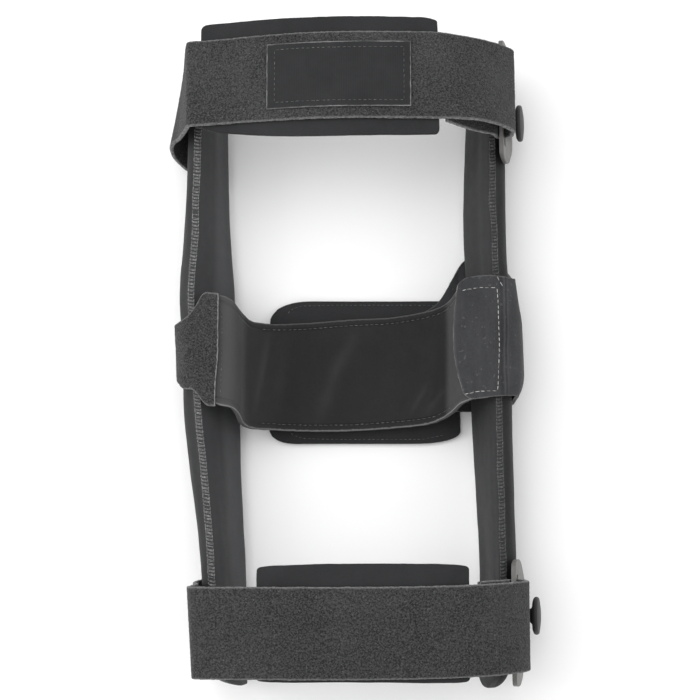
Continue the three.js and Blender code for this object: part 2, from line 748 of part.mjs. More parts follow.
const rightTabKind = {
  table: rightSleeve,
  side: 1,
  front: rightTabFront,
  wrap: rightTabWrap,
  rear: rightTabRear,
  slack: 5.2,
};

// The rounded pad: flat at the back, crowned at the front. Reach and depth of a corner are along and across
// the pad, depth as a share of rearPadCorner.
const rearPadCorners = {
  upperLeft: { reach: rearPadCorner * 1.7, depth: 0.95 },
  upperRight: { reach: rearPadCorner * 0.3, depth: 0.3 },
  lowerLeft: { reach: rearPadCorner * 1.1, depth: 0.65 },
  lowerRight: { reach: rearPadTaper, depth: 0.55 },
};
const cornerSteps = [0, 0.04, 0.15, 0.35, 0.62, 1];
function cornerInset(distance, reach, depth) {
  return distance < reach ? depth * (1 - Math.sqrt(1 - (1 - distance / reach) ** 2)) : 0;
}
function rearPad() {
  const left = rearPadCentreX - rearPadLength / 2;
  const steps = cornerSteps.map((share) => share * rearPadCorner);
  const distances = [...steps];
  const middleSteps = 12;
  for (let n = 1; n < middleSteps; n += 1) {
    distances.push(rearPadCorner + (rearPadLength - 2 * rearPadCorner) * n / middleSteps);
  }
  distances.push(...steps.map((step) => rearPadLength - step).reverse());
  const columns = 8;
  const front = [];
  const back = [];
  for (const distance of distances) {
    const other = rearPadLength - distance;
    const { upperLeft, upperRight, lowerLeft, lowerRight } = rearPadCorners;
    const inset = (from, corner) => cornerInset(from, corner.reach, corner.depth * rearPadCorner);
    const top = rearPadHeight / 2 - inset(distance, upperLeft) - inset(other, upperRight);
    const foot = rearPadHeight / 2 - inset(distance, lowerLeft) - inset(other, lowerRight);
    const frontRow = [];
    const backRow = [];
    for (let j = 0; j <= columns; j += 1) {
      const share = (1 - Math.cos(Math.PI * j / columns)) / 2;
      const x = left + distance;
      const y = rearPadCentreY + THREE.MathUtils.lerp(top, -foot, share);
      const edge = Math.min(distance, other, share * rearPadHeight, (1 - share) * rearPadHeight);
      const swell = THREE.MathUtils.lerp(padEdgeShare, 1, Math.sqrt(Math.min(edge / rearPadCorner, 1)));
      frontRow.push(new THREE.Vector3(x, y, rearPadThickness * swell));
      backRow.push(new THREE.Vector3(x, y, 0));
    }
    front.push(frontRow);
    back.push(backRow);
  }
  return between(front, back);
}

// The whole brace
const brace = new THREE.Group();
function add(name, geometry, material) {
  const mesh = new THREE.Mesh(geometry, material);
  mesh.name = name;
  brace.add(mesh);
}

add('left_upright_sleeve', sleeve(leftSleeve, -1, leftTip), smoothFabric());
add('right_upright_sleeve', sleeve(rightSleeve, 1, evenTip), smoothFabric());
for (const [name, kind] of [['thigh_strap', thighKind], ['calf_strap', calfKind]]) {
  const grid = gridFrom((share) => strapLine(kind, share), 3, 3);
  add(name, cloth(grid, strapThickness), loopFabric());
}
const thighSpan = { from: -thighPadLeft, to: thighPadRight };
const calfSpan = { from: -calfPadLeft, to: calfPadRight };
const thighPad = strapPad(thighKind, thighSpan, thighStrapRise, thighPadHeight, thighPadShape);
add('thigh_pad', thighPad, smoothFabric());
const calfPad = strapPad(calfKind, calfSpan, -calfStrapDrop + calfPadRise, calfPadHeight, calfPadShape);
add('calf_pad', calfPad, smoothFabric());
add('label_patch', labelPatch(), smoothFabric());
add('popliteal_band', cloth(gridFrom(bandLine, 4, 3), bandThickness), smoothFabric());
const leftTab = gridFrom((share) => tabLine(share, leftTabKind), 4, 2);
add('left_tab', cloth(leftTab, tabThickness), loopFabric());
const rightTab = gridFrom((share) => tabLine(share, rightTabKind), 5, 2);
add('right_tab', cloth(rightTab, tabThickness), paleTab());
add('popliteal_pad', rearPad(), smoothFabric());
const upperPlateY = thighStrapRise + thighPlateShift;
const lowerPlateY = -calfStrapDrop + calfPlateShift;
add('upper_slot_plate', slotPlate(upperPlateY, thighButtonShift), moulded(0x8a8884));
add('lower_slot_plate', slotPlate(lowerPlateY, calfButtonShift), moulded(0x8a8884));
add('upper_button', button(upperPlateY, thighButtonShift, thighButtonStand), moulded(0x3a3a3a));
add('lower_button', button(lowerPlateY, calfButtonShift, calfButtonStand), moulded(0x3a3a3a));

// The origin is under the middle of the brace, on the surface that it lies on.
const bounds = new THREE.Box3().setFromObject(brace);
const centre = bounds.getCenter(new THREE.Vector3());
brace.position.set(-centre.x, -centre.y, -bounds.min.z);

export default brace;
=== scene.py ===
import math

import bmesh
import bpy
import numpy as np
from mathutils import Matrix, Vector, noise
from mathutils.bvhtree import BVHTree


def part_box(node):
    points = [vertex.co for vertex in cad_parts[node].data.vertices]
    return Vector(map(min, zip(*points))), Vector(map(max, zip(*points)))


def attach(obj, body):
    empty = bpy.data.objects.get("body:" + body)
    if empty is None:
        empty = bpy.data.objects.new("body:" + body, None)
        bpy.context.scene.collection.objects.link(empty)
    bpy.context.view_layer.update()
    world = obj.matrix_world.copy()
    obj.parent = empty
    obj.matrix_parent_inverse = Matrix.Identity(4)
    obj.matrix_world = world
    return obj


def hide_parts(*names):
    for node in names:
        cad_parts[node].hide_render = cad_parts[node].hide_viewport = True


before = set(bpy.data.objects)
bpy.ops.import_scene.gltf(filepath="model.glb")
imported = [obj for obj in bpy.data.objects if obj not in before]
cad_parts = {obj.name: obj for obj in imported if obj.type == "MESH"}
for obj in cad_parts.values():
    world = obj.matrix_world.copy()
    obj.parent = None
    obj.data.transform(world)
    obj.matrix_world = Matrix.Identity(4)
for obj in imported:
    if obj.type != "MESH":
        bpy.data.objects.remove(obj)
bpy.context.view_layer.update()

# The stage: a white surrounding, one wide soft light above, and a softer one at each side.
# The brace lies on its rear pad, and the camera looks down on it almost squarely, the thigh end up.
mm = 0.001
stage = bpy.context.scene
world = bpy.data.worlds.new("studio")
stage.world = world
world.use_nodes = True
world.node_tree.nodes["Background"].inputs["Color"].default_value = (1.0, 1.0, 1.0, 1.0)
world.node_tree.nodes["Background"].inputs["Strength"].default_value = 0.9
stage.view_settings.view_transform = "Standard"


def soft_light(name, place, aim, size, watts):
    lamp = bpy.data.lights.new(name, "AREA")
    lamp.shape = "SQUARE"
    lamp.size = size
    lamp.energy = watts
    holder = bpy.data.objects.new(name, lamp)
    stage.collection.objects.link(holder)
    holder.location = place
    holder.rotation_euler = (Vector(aim) - Vector(place)).to_track_quat("-Z", "Y").to_euler()


soft_light("overhead_light", (-0.55, 0.4, 1.5), (0, 0, 0), 1.5, 13)
soft_light("left_light", (-1.3, 0.1, 0.9), (0, 0, 0.04), 0.7, 5)
soft_light("right_light", (1.3, 0.3, 0.9), (0, 0, 0.04), 0.7, 2.5)

lens = bpy.data.cameras.new("camera")
lens.lens = 82.75
lens.sensor_width = 36
lens.clip_end = 20
camera = bpy.data.objects.new("camera", lens)
stage.collection.objects.link(camera)
stage.camera = camera

# The sleeves: two tubes of smooth padded knit over the side bars, thicker at the hinge in the middle. Each is cut
# from one sheet, folded at the rear and closed along its front edge with an overlock seam in pale thread.
# A fixed seed, or noise_vector differs from run to run
noise.seed_set(7)
half_span = 90
sleeve_top = 186
sleeve_foot = -199.5
sleeve_depth = 42
sleeve_lift = 8
sleeve_thickness = 16
sleeve_front = sleeve_lift + sleeve_depth
seam_thickness = 4.2
layer_gap = 0.4
rear_low, rear_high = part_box("popliteal_pad")
shift = Vector(((rear_low.x + rear_high.x) / 2 / mm - 9.2, (rear_low.y + rear_high.y) / 2 / mm + 9, 0))
camera.location = (Vector((0, -99.82, 999.77)) + shift) * mm
camera.rotation_euler = (math.radians(6), 0, 0)

# at, seam, rear, thick: shares of the sleeve's length, of half_span twice, and of sleeve_thickness
left_sleeve = [
    (0, 0.86, 0.68, 0.96),
    (0.175, 0.879, 0.695, 1.1),
    (0.325, 0.933, 0.732, 1.32),
    (0.42, 0.977, 0.738, 1.49),
    (0.51, 1.01, 0.756, 1.4),
    (0.61, 1.031, 0.776, 1.45),
    (0.68, 1.013, 0.806, 1.28),
    (0.83, 0.997, 0.838, 1.04),
    (1, 0.983, 0.85, 0.95),
]
right_sleeve = [
    (0, 0.935, 0.845, 0.9),
    (0.175, 0.973, 0.877, 0.98),
    (0.265, 0.968, 0.858, 1.02),
    (0.42, 0.957, 0.824, 1.1),
    (0.61, 0.948, 0.792, 1.14),
    (0.75, 0.93, 0.77, 1.16),
    (0.88, 0.928, 0.798, 1.06),
    (1, 0.92, 0.83, 0.95),
]
# along, out: shares of the sleeve's depth and thickness, from the seam over the outer face to the rear fold
sleeve_round = [
    (0.9, 0.33), (0.79, 0.72), (0.62, 0.97), (0.45, 1), (0.27, 0.92), (0.12, 0.68), (0.02, 0.36), (0, 0.14),
    (0.03, 0), (0.35, -0.02), (0.7, -0.02),
]


def mix(a, b, share):
    return a + (b - a) * share


def ease(low, high, place):
    share = min(max((place - low) / (high - low), 0), 1)
    return share * share * (3 - 2 * share)


def read_table(table, place):
    """The other columns of a table at that place along its first one, on a smooth curve through its rows."""
    rows = np.array(table, float)
    last = len(rows) - 1
    i = min(max(int(np.searchsorted(rows[:, 0], place)) - 1, 0), last - 1)

    def slope(n):
        before, after = rows[max(n - 1, 0)], rows[min(n + 1, last)]
        return (after - before)[1:] / (after - before)[0]

    step = rows[i + 1, 0] - rows[i, 0]
    t = (place - rows[i, 0]) / step
    level = mix(rows[i, 1:], rows[i + 1, 1:], 3 * t**2 - 2 * t**3)
    return level + slope(i) * step * (t**3 - 2 * t**2 + t) + slope(i + 1) * step * (t**3 - t**2)


def curve_through(guides, steps, closed=False):
    """Points on a smooth curve through the guides, with that many steps between each two."""
    points = np.array([tuple(g) for g in guides], float)
    if closed:
        padded_out = np.vstack([points[-1:], points, points[:2]])
    else:
        padded_out = np.vstack([2 * points[:1] - points[1:2], points, 2 * points[-1:] - points[-2:-1]])
    t = np.arange(steps)[:, None] / steps
    found = []
    for n in range(1, len(padded_out) - 2):
        before, here, after, beyond = padded_out[n - 1 : n + 3]
        gaps = [max(np.linalg.norm(b - a) ** 0.5, 1e-3) for a, b in ((before, here), (here, after), (after, beyond))]
        leave = (here - before) / gaps[0] - (after - before) / (gaps[0] + gaps[1]) + (after - here) / gaps[1]
        reach = (after - here) / gaps[1] - (beyond - here) / (gaps[1] + gaps[2]) + (beyond - after) / gaps[2]
        leave, reach = leave * gaps[1], reach * gaps[1]
        bend = -3 * here + 3 * after - 2 * leave - reach
        twist = 2 * here - 2 * after + leave + reach
        found.append(here + leave * t + bend * t**2 + twist * t**3)
    if not closed:
        found.append(points[-1:])
    return np.vstack(found)


def evenly(points, count):
    """The same line with its points an even way apart."""
    steps = np.linalg.norm(np.diff(points, axis=0), axis=1)
    way = np.concatenate([[0], np.cumsum(steps)])
    wanted = np.linspace(0, way[-1], count + 1)
    return np.stack([np.interp(wanted, way, points[:, axis]) for axis in range(points.shape[1])], axis=1), way[-1]


def sleeve_section(table, y, full=1.0, tip=0.5):
    """One section of a sleeve as (out, height) points, out counted from the middle of the knee."""
    seam, rear, thick = read_table(table, (y - sleeve_foot) / (sleeve_top - sleeve_foot))
    seam, rear, thick = seam * half_span, rear * half_span, thick * sleeve_thickness
    axis = Vector((seam - rear, sleeve_depth))
    depth = axis.length
    axis.normalize()
    square = Vector((axis.y, -axis.x))

    def place(along, out):
        slide = depth * tip + (along - depth * tip) * full
        return Vector((rear, sleeve_lift)) + axis * slide + square * (out * mix(0.35, 1, full))

    edge = seam_thickness * 0.15
    points = [place(depth, edge), place(depth, seam_thickness - edge), place(depth - edge, seam_thickness)]
    points += [place(along * depth, out * thick) for along, out in sleeve_round]
    points.append(place(depth - edge, 0))
    return points, rear


def new_piece(name, bm, *materials):
    mesh = bpy.data.meshes.new(name)
    bm.to_mesh(mesh)
    bm.free()
    piece = bpy.data.objects.new(name, mesh)
    stage.collection.objects.link(piece)
    for material in materials:
        mesh.materials.append(material)
    mesh.shade_smooth()
    return piece


def settled(piece):
    """Applies what the piece's modifiers make of it."""
    graph = bpy.context.evaluated_depsgraph_get()
    mesh = bpy.data.meshes.new_from_object(piece.evaluated_get(graph), preserve_all_data_layers=True, depsgraph=graph)
    piece.modifiers.clear()
    piece.data = mesh
    return piece


def worked(piece, move):
    """Moves each point of a piece along its own normal, by what move says of its place, in metres."""
    mesh = piece.data
    shifts = [vert.normal * move(vert.co, vert.normal) for vert in mesh.vertices]
    for vert, amount in zip(mesh.vertices, shifts):
        vert.co += amount


def puffed(piece, pressure, limit, pins=None, frames=16):
    """Fills a padded piece: its cloth swells under pressure, and no point goes further than the limit."""
    before = [vert.co.copy() for vert in piece.data.vertices]
    cloth = piece.modifiers.new("filling", "CLOTH")
    cloth.settings.quality = 4
    cloth.settings.mass = 0.2
    cloth.settings.tension_stiffness = 25
    cloth.settings.compression_stiffness = 25
    cloth.settings.bending_stiffness = 0.6
    cloth.settings.use_pressure = True
    cloth.settings.uniform_pressure_force = pressure
    cloth.settings.effector_weights.gravity = 0
    if pins:
        cloth.settings.vertex_group_mass = pins
    for step in range(1, frames + 1):
        stage.frame_set(step)
    settled(piece)
    stage.frame_set(1)
    for vert, start in zip(piece.data.vertices, before):
        way = vert.co - start
        if way.length > limit:
            vert.co = start + way * (limit / way.length)
    return piece


def rounded(piece, levels):
    smooth = piece.modifiers.new("rounded", "SUBSURF")
    smooth.levels = levels
    smooth.render_levels = levels


# A material is written as sums on sockets. Value wraps one output socket of a node.
class Value:
    def __init__(self, tree, socket=None):
        self.tree = tree
        self.socket = socket

    def node(self, kind, output=0, settings=None, **inputs):
        made = self.tree.nodes.new("ShaderNode" + kind)
        for key, setting in (settings or {}).items():
            setattr(made, key, setting)
        for key, given in inputs.items():
            target = made.inputs[int(key[1:]) if key[1:].isdigit() else key.replace("_", " ")]
            if isinstance(given, Value):
                self.tree.links.new(given.socket, target)
            else:
                target.default_value = given
        return Value(self.tree, made.outputs[output])

    def sum(self, operation, a, b):
        return self.node("Math", settings={"operation": operation}, i0=a, i1=b)

    def __add__(self, other):
        return self.sum("ADD", self, other)

    def __radd__(self, other):
        return self.sum("ADD", other, self)

    def __sub__(self, other):
        return self.sum("SUBTRACT", self, other)

    def __rsub__(self, other):
        return self.sum("SUBTRACT", other, self)

    def __mul__(self, other):
        return self.sum("MULTIPLY", self, other)

    def __rmul__(self, other):
        return self.sum("MULTIPLY", other, self)

    def __truediv__(self, other):
        return self.sum("DIVIDE", self, other)

    def least(self, other):
        return self.sum("MINIMUM", self, other)

    def smooth(self, low, high):
        """0 up to low and 1 from high on, with a soft step between them."""
        settings = {"interpolation_type": "SMOOTHSTEP"}
        return self.node("MapRange", settings=settings, Value=self, From_Min=low, From_Max=high)

    def near(self, place, reach):
        """1 at that place, and down to 0 at that reach from it."""
        return 1 - self.node("Math", settings={"operation": "ABSOLUTE"}, i0=self - place).smooth(0, reach)

    def colour(self, dark, light):
        under = dark if isinstance(dark, Value) else (*dark, 1)
        return self.node("Mix", output=2, settings={"data_type": "RGBA"}, Factor=self, i6=under, i7=(*light, 1))


def finish(name, dark, light, tone, roughness, height, depth, pale=None, **uniform):
    """A material whose colour goes from dark to light with tone, and to a paler one where pale's function says so.

    Height is in shares of depth, in metres.
    """
    material = bpy.data.materials.new(name)
    material.use_nodes = True
    tree = material.node_tree
    shader = tree.nodes["Principled BSDF"]
    start = Value(tree)
    places = start.node("TexCoord", output=3)
    cut = start.node("UVMap", settings={"uv_map": "cut"})
    paint = tone(start, places, cut).colour(dark, light)
    if pale:
        paint = pale[1](start, places, cut).colour(paint, pale[0])
    tree.links.new(paint.socket, shader.inputs["Base Color"])
    tree.links.new(roughness(start, places, cut).socket, shader.inputs["Roughness"])
    relief = start.node("Bump", Height=height(start, places, cut), Distance=depth, Strength=1.0)
    tree.links.new(relief.socket, shader.inputs["Normal"])
    for key, level in uniform.items():
        shader.inputs[key.replace("_", " ")].default_value = level
    return material


def specks(start, places, size, detail=2.0, roughness=0.6):
    """Even noise whose lumps are about that size, in metres."""
    return start.node("TexNoise", Vector=places, Scale=1 / size, Detail=detail, Roughness=roughness)


def grain(low, rise, *size):
    """A level that goes from low up to low + rise in even specks of that size."""
    return lambda start, at, cut: low + rise * specks(start, at, *size)


def told(start, name):
    """A number that the points of a piece carry: side, first and last are a sheet's ways to its edges, in metres."""
    return start.node("Attribute", output=2, settings={"attribute_name": name})


def knit_height(start, places, pitch=0.0006):
    """Fine rows of stitches across each other, as on a smooth knitted face."""
    along = start.node("TexWave", settings={"bands_direction": "X"}, Vector=places, Scale=0.32 / pitch, Distortion=0.6)
    across = start.node("TexWave", settings={"bands_direction": "Y"}, Vector=places, Scale=0.22 / pitch, Distortion=0.6)
    return 0.5 * along + 0.5 * across


def sleeve_tone(start, at, cut):
    """Painted shade darkens the outer face against the face at the front, a painted highlight runs along the inner
    edge, and all of it has a faint mottle.
    """
    return told(start, "painted_shading") + 0.22 * specks(start, at, 0.03, 3) + 0.12 * specks(start, at, 0.0014, 3) - 0.17


sleeve_knit = finish(
    "sleeve_knit",
    (0.008, 0.0082, 0.0088),
    (0.064, 0.065, 0.068),
    sleeve_tone,
    grain(0.62, 0.25, 0.006),
    lambda start, at, cut: 0.6 * knit_height(start, at) + 0.8 * specks(start, at, 0.0014, 3),
    0.00014,
    Sheen_Weight=0.05,
    Sheen_Roughness=0.5,
    Specular_IOR_Level=0.16,
)


def spun_thread(name, dark, light, broad, fine):
    """A thread's material: broad and fine say how much its tone changes along the seam and from twist to twist."""
    return finish(
        name,
        dark,
        light,
        lambda start, at, cut: broad * specks(start, at, 0.004, 3)
        + fine * specks(start, at, 0.0011, 1).smooth(0.45, 0.7),
        grain(0.6, 0.2, 0.001),
        grain(0, 1, 0.0004),
        0.0001,
    )


thread_pale = spun_thread("thread_pale", (0.055, 0.055, 0.056), (0.3, 0.3, 0.297), 0.55, 0.75)
thread_grey = spun_thread("thread_grey", (0.026, 0.026, 0.027), (0.19, 0.19, 0.19), 0.4, 0.6)
# Painted shading on a sleeve: where a section's guide points are, from 0 at the seam over the outer face and back
# inside, and how light it is painted there, with painted shade on the outer face and a painted highlight along the
# inner edge
painted_shading_tones = {
    "left": [
        (0, 0.6), (1.2, 0.5), (2, 0.26), (10, 0.22), (10.7, 0.6), (11.4, 0.86), (11.9, 1), (12.35, 1.05), (12.7, 0.6),
        (15, 0.62),
    ],
    "right": [
        (0, 0.5), (1.2, 0.3), (2, 0.12), (10, 0.16), (10.8, 0.85), (11.1, 0.5), (12, 0.36), (12.6, 0.42), (15, 0.4),
    ],
}


def sleeve_piece(name, table, side, tip):
    rows, end_radius = 150, 17
    length = sleeve_top - sleeve_foot
    around = len(sleeve_round) + 4
    steps = 4
    columns = around * steps
    bm = bmesh.new()
    bmesh.ops.create_grid(bm, x_segments=columns, y_segments=rows, size=0.5)
    # Each point carries its painted shading: shade on the outer face, a painted highlight along the inner edge
    painted_shading = bm.verts.layers.float.new("painted_shading")
    rings = []
    for n in range(rows + 1):
        share = n / rows
        station = length * (share + 0.012 * math.sin(-2 * math.pi * share))
        from_end = min(station, length - station)
        open_share = min(from_end / end_radius, 1)
        full = max(math.sqrt(1 - (1 - open_share) ** 2), 0.2)
        points, _ = sleeve_section(table, sleeve_foot + station, full, tip if share < 0.5 else 0.5)
        ring = curve_through(points, steps, closed=True)
        rings.append([Vector((side * x, sleeve_foot + station, z)) for x, z in ring])
    for vert in bm.verts:
        j = round((vert.co.x + 0.5) * columns) % columns
        i = round((vert.co.y + 0.5) * rows)
        vert.co = (rings[i][j] + shift) * mm
        vert[painted_shading] = float(np.interp(j / steps, *zip(*painted_shading_tones[name.split("_")[0]])))
    bmesh.ops.remove_doubles(bm, verts=bm.verts, dist=1e-6)
    filled = bmesh.ops.holes_fill(bm, edges=bm.edges, sides=0)["faces"]
    bmesh.ops.poke(bm, faces=filled)
    bmesh.ops.recalc_face_normals(bm, faces=bm.faces)
    piece = new_piece(name, bm, sleeve_knit)
    pins = piece.vertex_groups.new(name="seam")
    near_seam = [v.index for v in piece.data.vertices if v.co.z > (sleeve_front - 6) * mm]
    pins.add(near_seam, 1.0, "REPLACE")

    def wrinkles(place, normal):
        free = ease(sleeve_front, sleeve_front - 14, place.z / mm)
        long_fold = noise.noise(Vector((place.x * 30, place.y * 14, place.z * 75)))
        short_fold = noise.noise(Vector((place.x * 60, place.y * 70, place.z * 45)))
        return free * (0.00016 * long_fold - 0.0016 * max(long_fold, 0) ** 1.3 + 0.00022 * short_fold)

    worked(piece, wrinkles)
    puffed(piece, 3.0, 0.0006, "seam", 12)
    rounded(piece, 1)
    return piece


def thread_piece(name, runs, radius, material):
    """Short lengths of thread, each a thin pointed bead from its start to its end."""
    bead = bmesh.new()
    bmesh.ops.create_uvsphere(bead, u_segments=6, v_segments=5, radius=1)
    plain = bpy.data.meshes.new("bead")
    bead.to_mesh(plain)
    bead.free()
    bm = bmesh.new()
    for start, end in runs:
        way = end - start
        size = Vector((radius, radius, way.length / 2 + radius * 0.6))
        one = plain.copy()
        one.transform(Matrix.LocRotScale((start + end) / 2, way.to_track_quat("Z", "Y"), size))
        bm.from_mesh(one)
        bpy.data.meshes.remove(one)
    return new_piece(name, bm, material)


def overlock_runs(table, side, spread):
    """The threads of an overlock seam: rungs over the edge in pairs, and a chain along both of its sides."""
    in_pair, between, slant = 0.62, 1.44, 0.5
    runs = []
    count = 0
    y = sleeve_foot + 9
    while y < sleeve_top - 9:
        loose = noise.noise_vector(Vector((y * 0.9, side * 7, 3)))
        sway = noise.noise(Vector((y * 0.05, side, 9))) * 0.45
        ends = []
        for share in (0, 1):
            points, _ = sleeve_section(table, y + share * (slant + loose.z * 0.35))
            front = points[share] + (points[share] - points[2 if share else -1]).normalized() * 0.2
            spot = Vector((side * (front.x + sway), y + share * (slant + loose.z * 0.35), points[share].y + 0.26))
            ends.append((spot + shift) * mm)
        across = (ends[1] - ends[0]) * 0.1
        if loose.x + loose.z > -0.55:
            runs.append((ends[0] - across * (spread + 3 * loose.x), ends[1] + across * (spread + 3 * loose.y)))
        down = (points[-2] - points[0]).normalized() * (3.2 + 2.2 * loose.x)
        leg_y = ends[0].y / mm - shift.y + 0.4 * loose.y
        leg = Vector((side * (points[0].x + down.x + sway), leg_y, points[0].y + down.y))
        leg.x -= side * 0.22
        runs.append((ends[0] - across, (leg + shift) * mm))
        for end, outward in ((ends[0], -across), (ends[1], across)):
            low = end + outward * (spread + loose.x) - Vector((0, 0, 0.3 * mm))
            runs.append((low, low + Vector((loose.y * 0.3 * mm, (0.85 + 0.3 * loose.z) * mm, 0.1 * mm))))
        count += 1
        y += (in_pair if count % 2 else between) * (1 + 0.2 * loose.y)
    return runs


for name, table, side, tip, thread, spread in (
    ("left_upright_sleeve", left_sleeve, -1, 0.03, thread_pale, 2.8),
    ("right_upright_sleeve", right_sleeve, 1, 0.5, thread_grey, 1.3),
):
    cover = sleeve_piece(name + "_cover", table, side, tip)
    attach(cover, "root")
    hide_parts(name)
    seam = thread_piece(name + "_overlock", overlock_runs(table, side, spread), 0.25 * mm, thread)
    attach(seam, "root")

# The two front straps: loop fabric on a thin foam, cut from a roll, so their long edges show the pale felted core.
# Each goes from behind the left sleeve over the front, round the bar of its plate and back on its own inner face.
strap_width = 50.8
strap_thickness = 2.6
strap_crest = 100
plate_depth = 50
plate_thickness = 2.6
plate_mid_height = 73
plate_lean = math.radians(12)
stem_setback = 17
bar_depth = 5
strap_tuck = 4.5
pad_right = {"thigh": 51.4, "calf": 67.5}
# rise, inset, slack: see the way round a sleeve below
way_round = [
    (0.92, 0.3, 0.35), (0.7, 0, 0.85), (0.45, 0, 1), (0.24, 0, 0.8), (0.09, 0.7, 0.45), (0.01, 2.6, 0.1), (0, 5.2, 0),
]
# forward, out: the loop round a plate's bar, in strap thicknesses from the middle of the bar
bar_loop = [(1.3, 2.5), (-0.35, 2.25), (-1.5, 1.15), (-1.75, 0), (-1.35, -1), (0, -1.3), (1.5, -1.35)]
# across, upper, lower: how much lower the two edges lie, as shares of the strap's height over the sleeves
thigh_front = [
    (-0.995, 0.5, 0.5), (-0.985, 0.43, 0.43), (-0.94, 0.395, 0.395), (-0.82, 0.35, 0.33), (-0.51, 0.16, 0.165),
    (-0.26, 0.05, 0.055), (0, 0, 0), (0.3, 0, 0), (0.51, 0.02, 0), (0.645, 0.14, 0.01), (0.775, 0.29, 0.1),
    (0.89, 0.48, 0.33), (0.965, 0.68, 0.6),
]
calf_front = [
    (-0.995, 0.15, 0.15), (-0.975, 0.085, 0.085), (-0.92, 0.06, 0.06), (-0.7, 0.035, 0.035), (-0.35, 0.005, 0.005),
    (0, 0, 0), (0.35, 0.02, 0.02), (0.6, 0.075, 0.07), (0.78, 0.19, 0.17), (0.9, 0.38, 0.34), (0.965, 0.58, 0.55),
]


def plate_frame(y):
    """Where a slot plate stands: its two directions, the middle of its stem and the middle of its bar."""
    forward = Vector((-math.sin(plate_lean), 0, math.cos(plate_lean)))
    outward = Vector((math.cos(plate_lean), 0, math.sin(plate_lean)))
    reach = [
        point.x * outward.x + point.y * outward.z
        for share in (-0.4, 0, 0.4)
        for point in sleeve_section(right_sleeve, y + share * plate_mid_height)[0]
    ]
    middle = max(reach) + layer_gap + plate_thickness / 2
    stem_height = sleeve_lift + sleeve_depth / 2
    origin = Vector(((middle - stem_height * outward.z) / outward.x, y, stem_height))
    bar = origin + forward * (plate_depth - stem_setback - bar_depth / 2)
    return forward, outward, origin, bar


strap_kinds = {
    "thigh": dict(
        front=thigh_front, left=96, right=100, middle=153.8, plate_y=151, turn=-1.4, lean=0, drift=-20, flare=8.6,
        flare_low=True, end=pad_right["thigh"] + 4.2,
    ),
    "calf": dict(
        front=calf_front, left=90.5, right=105, middle=-162.7, plate_y=-160, turn=2.7, lean=0.037, drift=2, flare=2.5,
        flare_low=False, end=pad_right["calf"] + 4.8,
    ),
}


def wrap_round(table, side, y, thickness, slack, drift):
    """The way round the outside of a sleeve, from front to back."""
    offset = layer_gap + thickness / 2
    points = []
    for n, (rise, inset, loose) in enumerate(way_round):
        here = y + drift * ((n + 1) / len(way_round)) ** 2
        section, _ = sleeve_section(table, here)
        lowest = min(point.y for point in section)
        x = max(point.x for point in section) + offset - inset * thickness + loose * slack
        z = lowest - offset + rise * (sleeve_front - lowest + offset)
        points.append(Vector((side * x, here, z)))
    return points


def behind_sleeve(table, side, y, thickness, inset):
    section, rear = sleeve_section(table, y)
    return Vector((side * (rear + inset), y, min(point.y for point in section) - layer_gap - thickness / 2))


def front_run(kind, y, share, turn):
    crest = strap_crest - strap_thickness / 2
    points = []
    for across, upper, lower in kind["front"]:
        fall = mix(upper, lower, share) * (strap_crest - sleeve_front)
        tuck = 1 - kind["lean"] * share * across**4
        x = across * (kind["left"] * tuck if across < 0 else kind["right"])
        points.append(Vector((x, y + turn * max(across, 0) ** 2, crest - fall)))
    return points


def strap_line(kind, share):
    """The middle line of a strap at that share of its width, from behind the left sleeve to its folded end."""
    y = kind["middle"] + (0.5 - share) * strap_width
    turn = kind["turn"]
    loose = kind["flare"] * (share if kind["flare_low"] else 1 - share) ** 1.15
    front = front_run(kind, y, share, turn)
    forward, outward, _, bar = plate_frame(kind["plate_y"])
    loop = []
    for ahead, out in bar_loop:
        point = bar + (forward * ahead + outward * out) * strap_thickness
        loop.append(Vector((point.x, y + turn, point.z)))
    before = [point for point in front if point.x <= kind["end"]][-1]
    after = front[front.index(before) + 1]
    height = mix(before.z, after.z, (kind["end"] - before.x) / (after.x - before.x))
    end = Vector((kind["end"], y + turn, height - strap_thickness - layer_gap * 2))
    last = loop[-1]
    folded = [
        Vector((mix(last.x, end.x, over), y + turn, mix(last.z, end.z, down)))
        for over, down in ((0.45, 0.36), (0.8, 0.76), (1, 1))
    ]
    behind = behind_sleeve(left_sleeve, -1, y + kind["drift"], strap_thickness, strap_tuck)
    wrap = wrap_round(left_sleeve, -1, y, strap_thickness, loose, kind["drift"])
    return [behind, *reversed(wrap), *front, *loop, *folded]


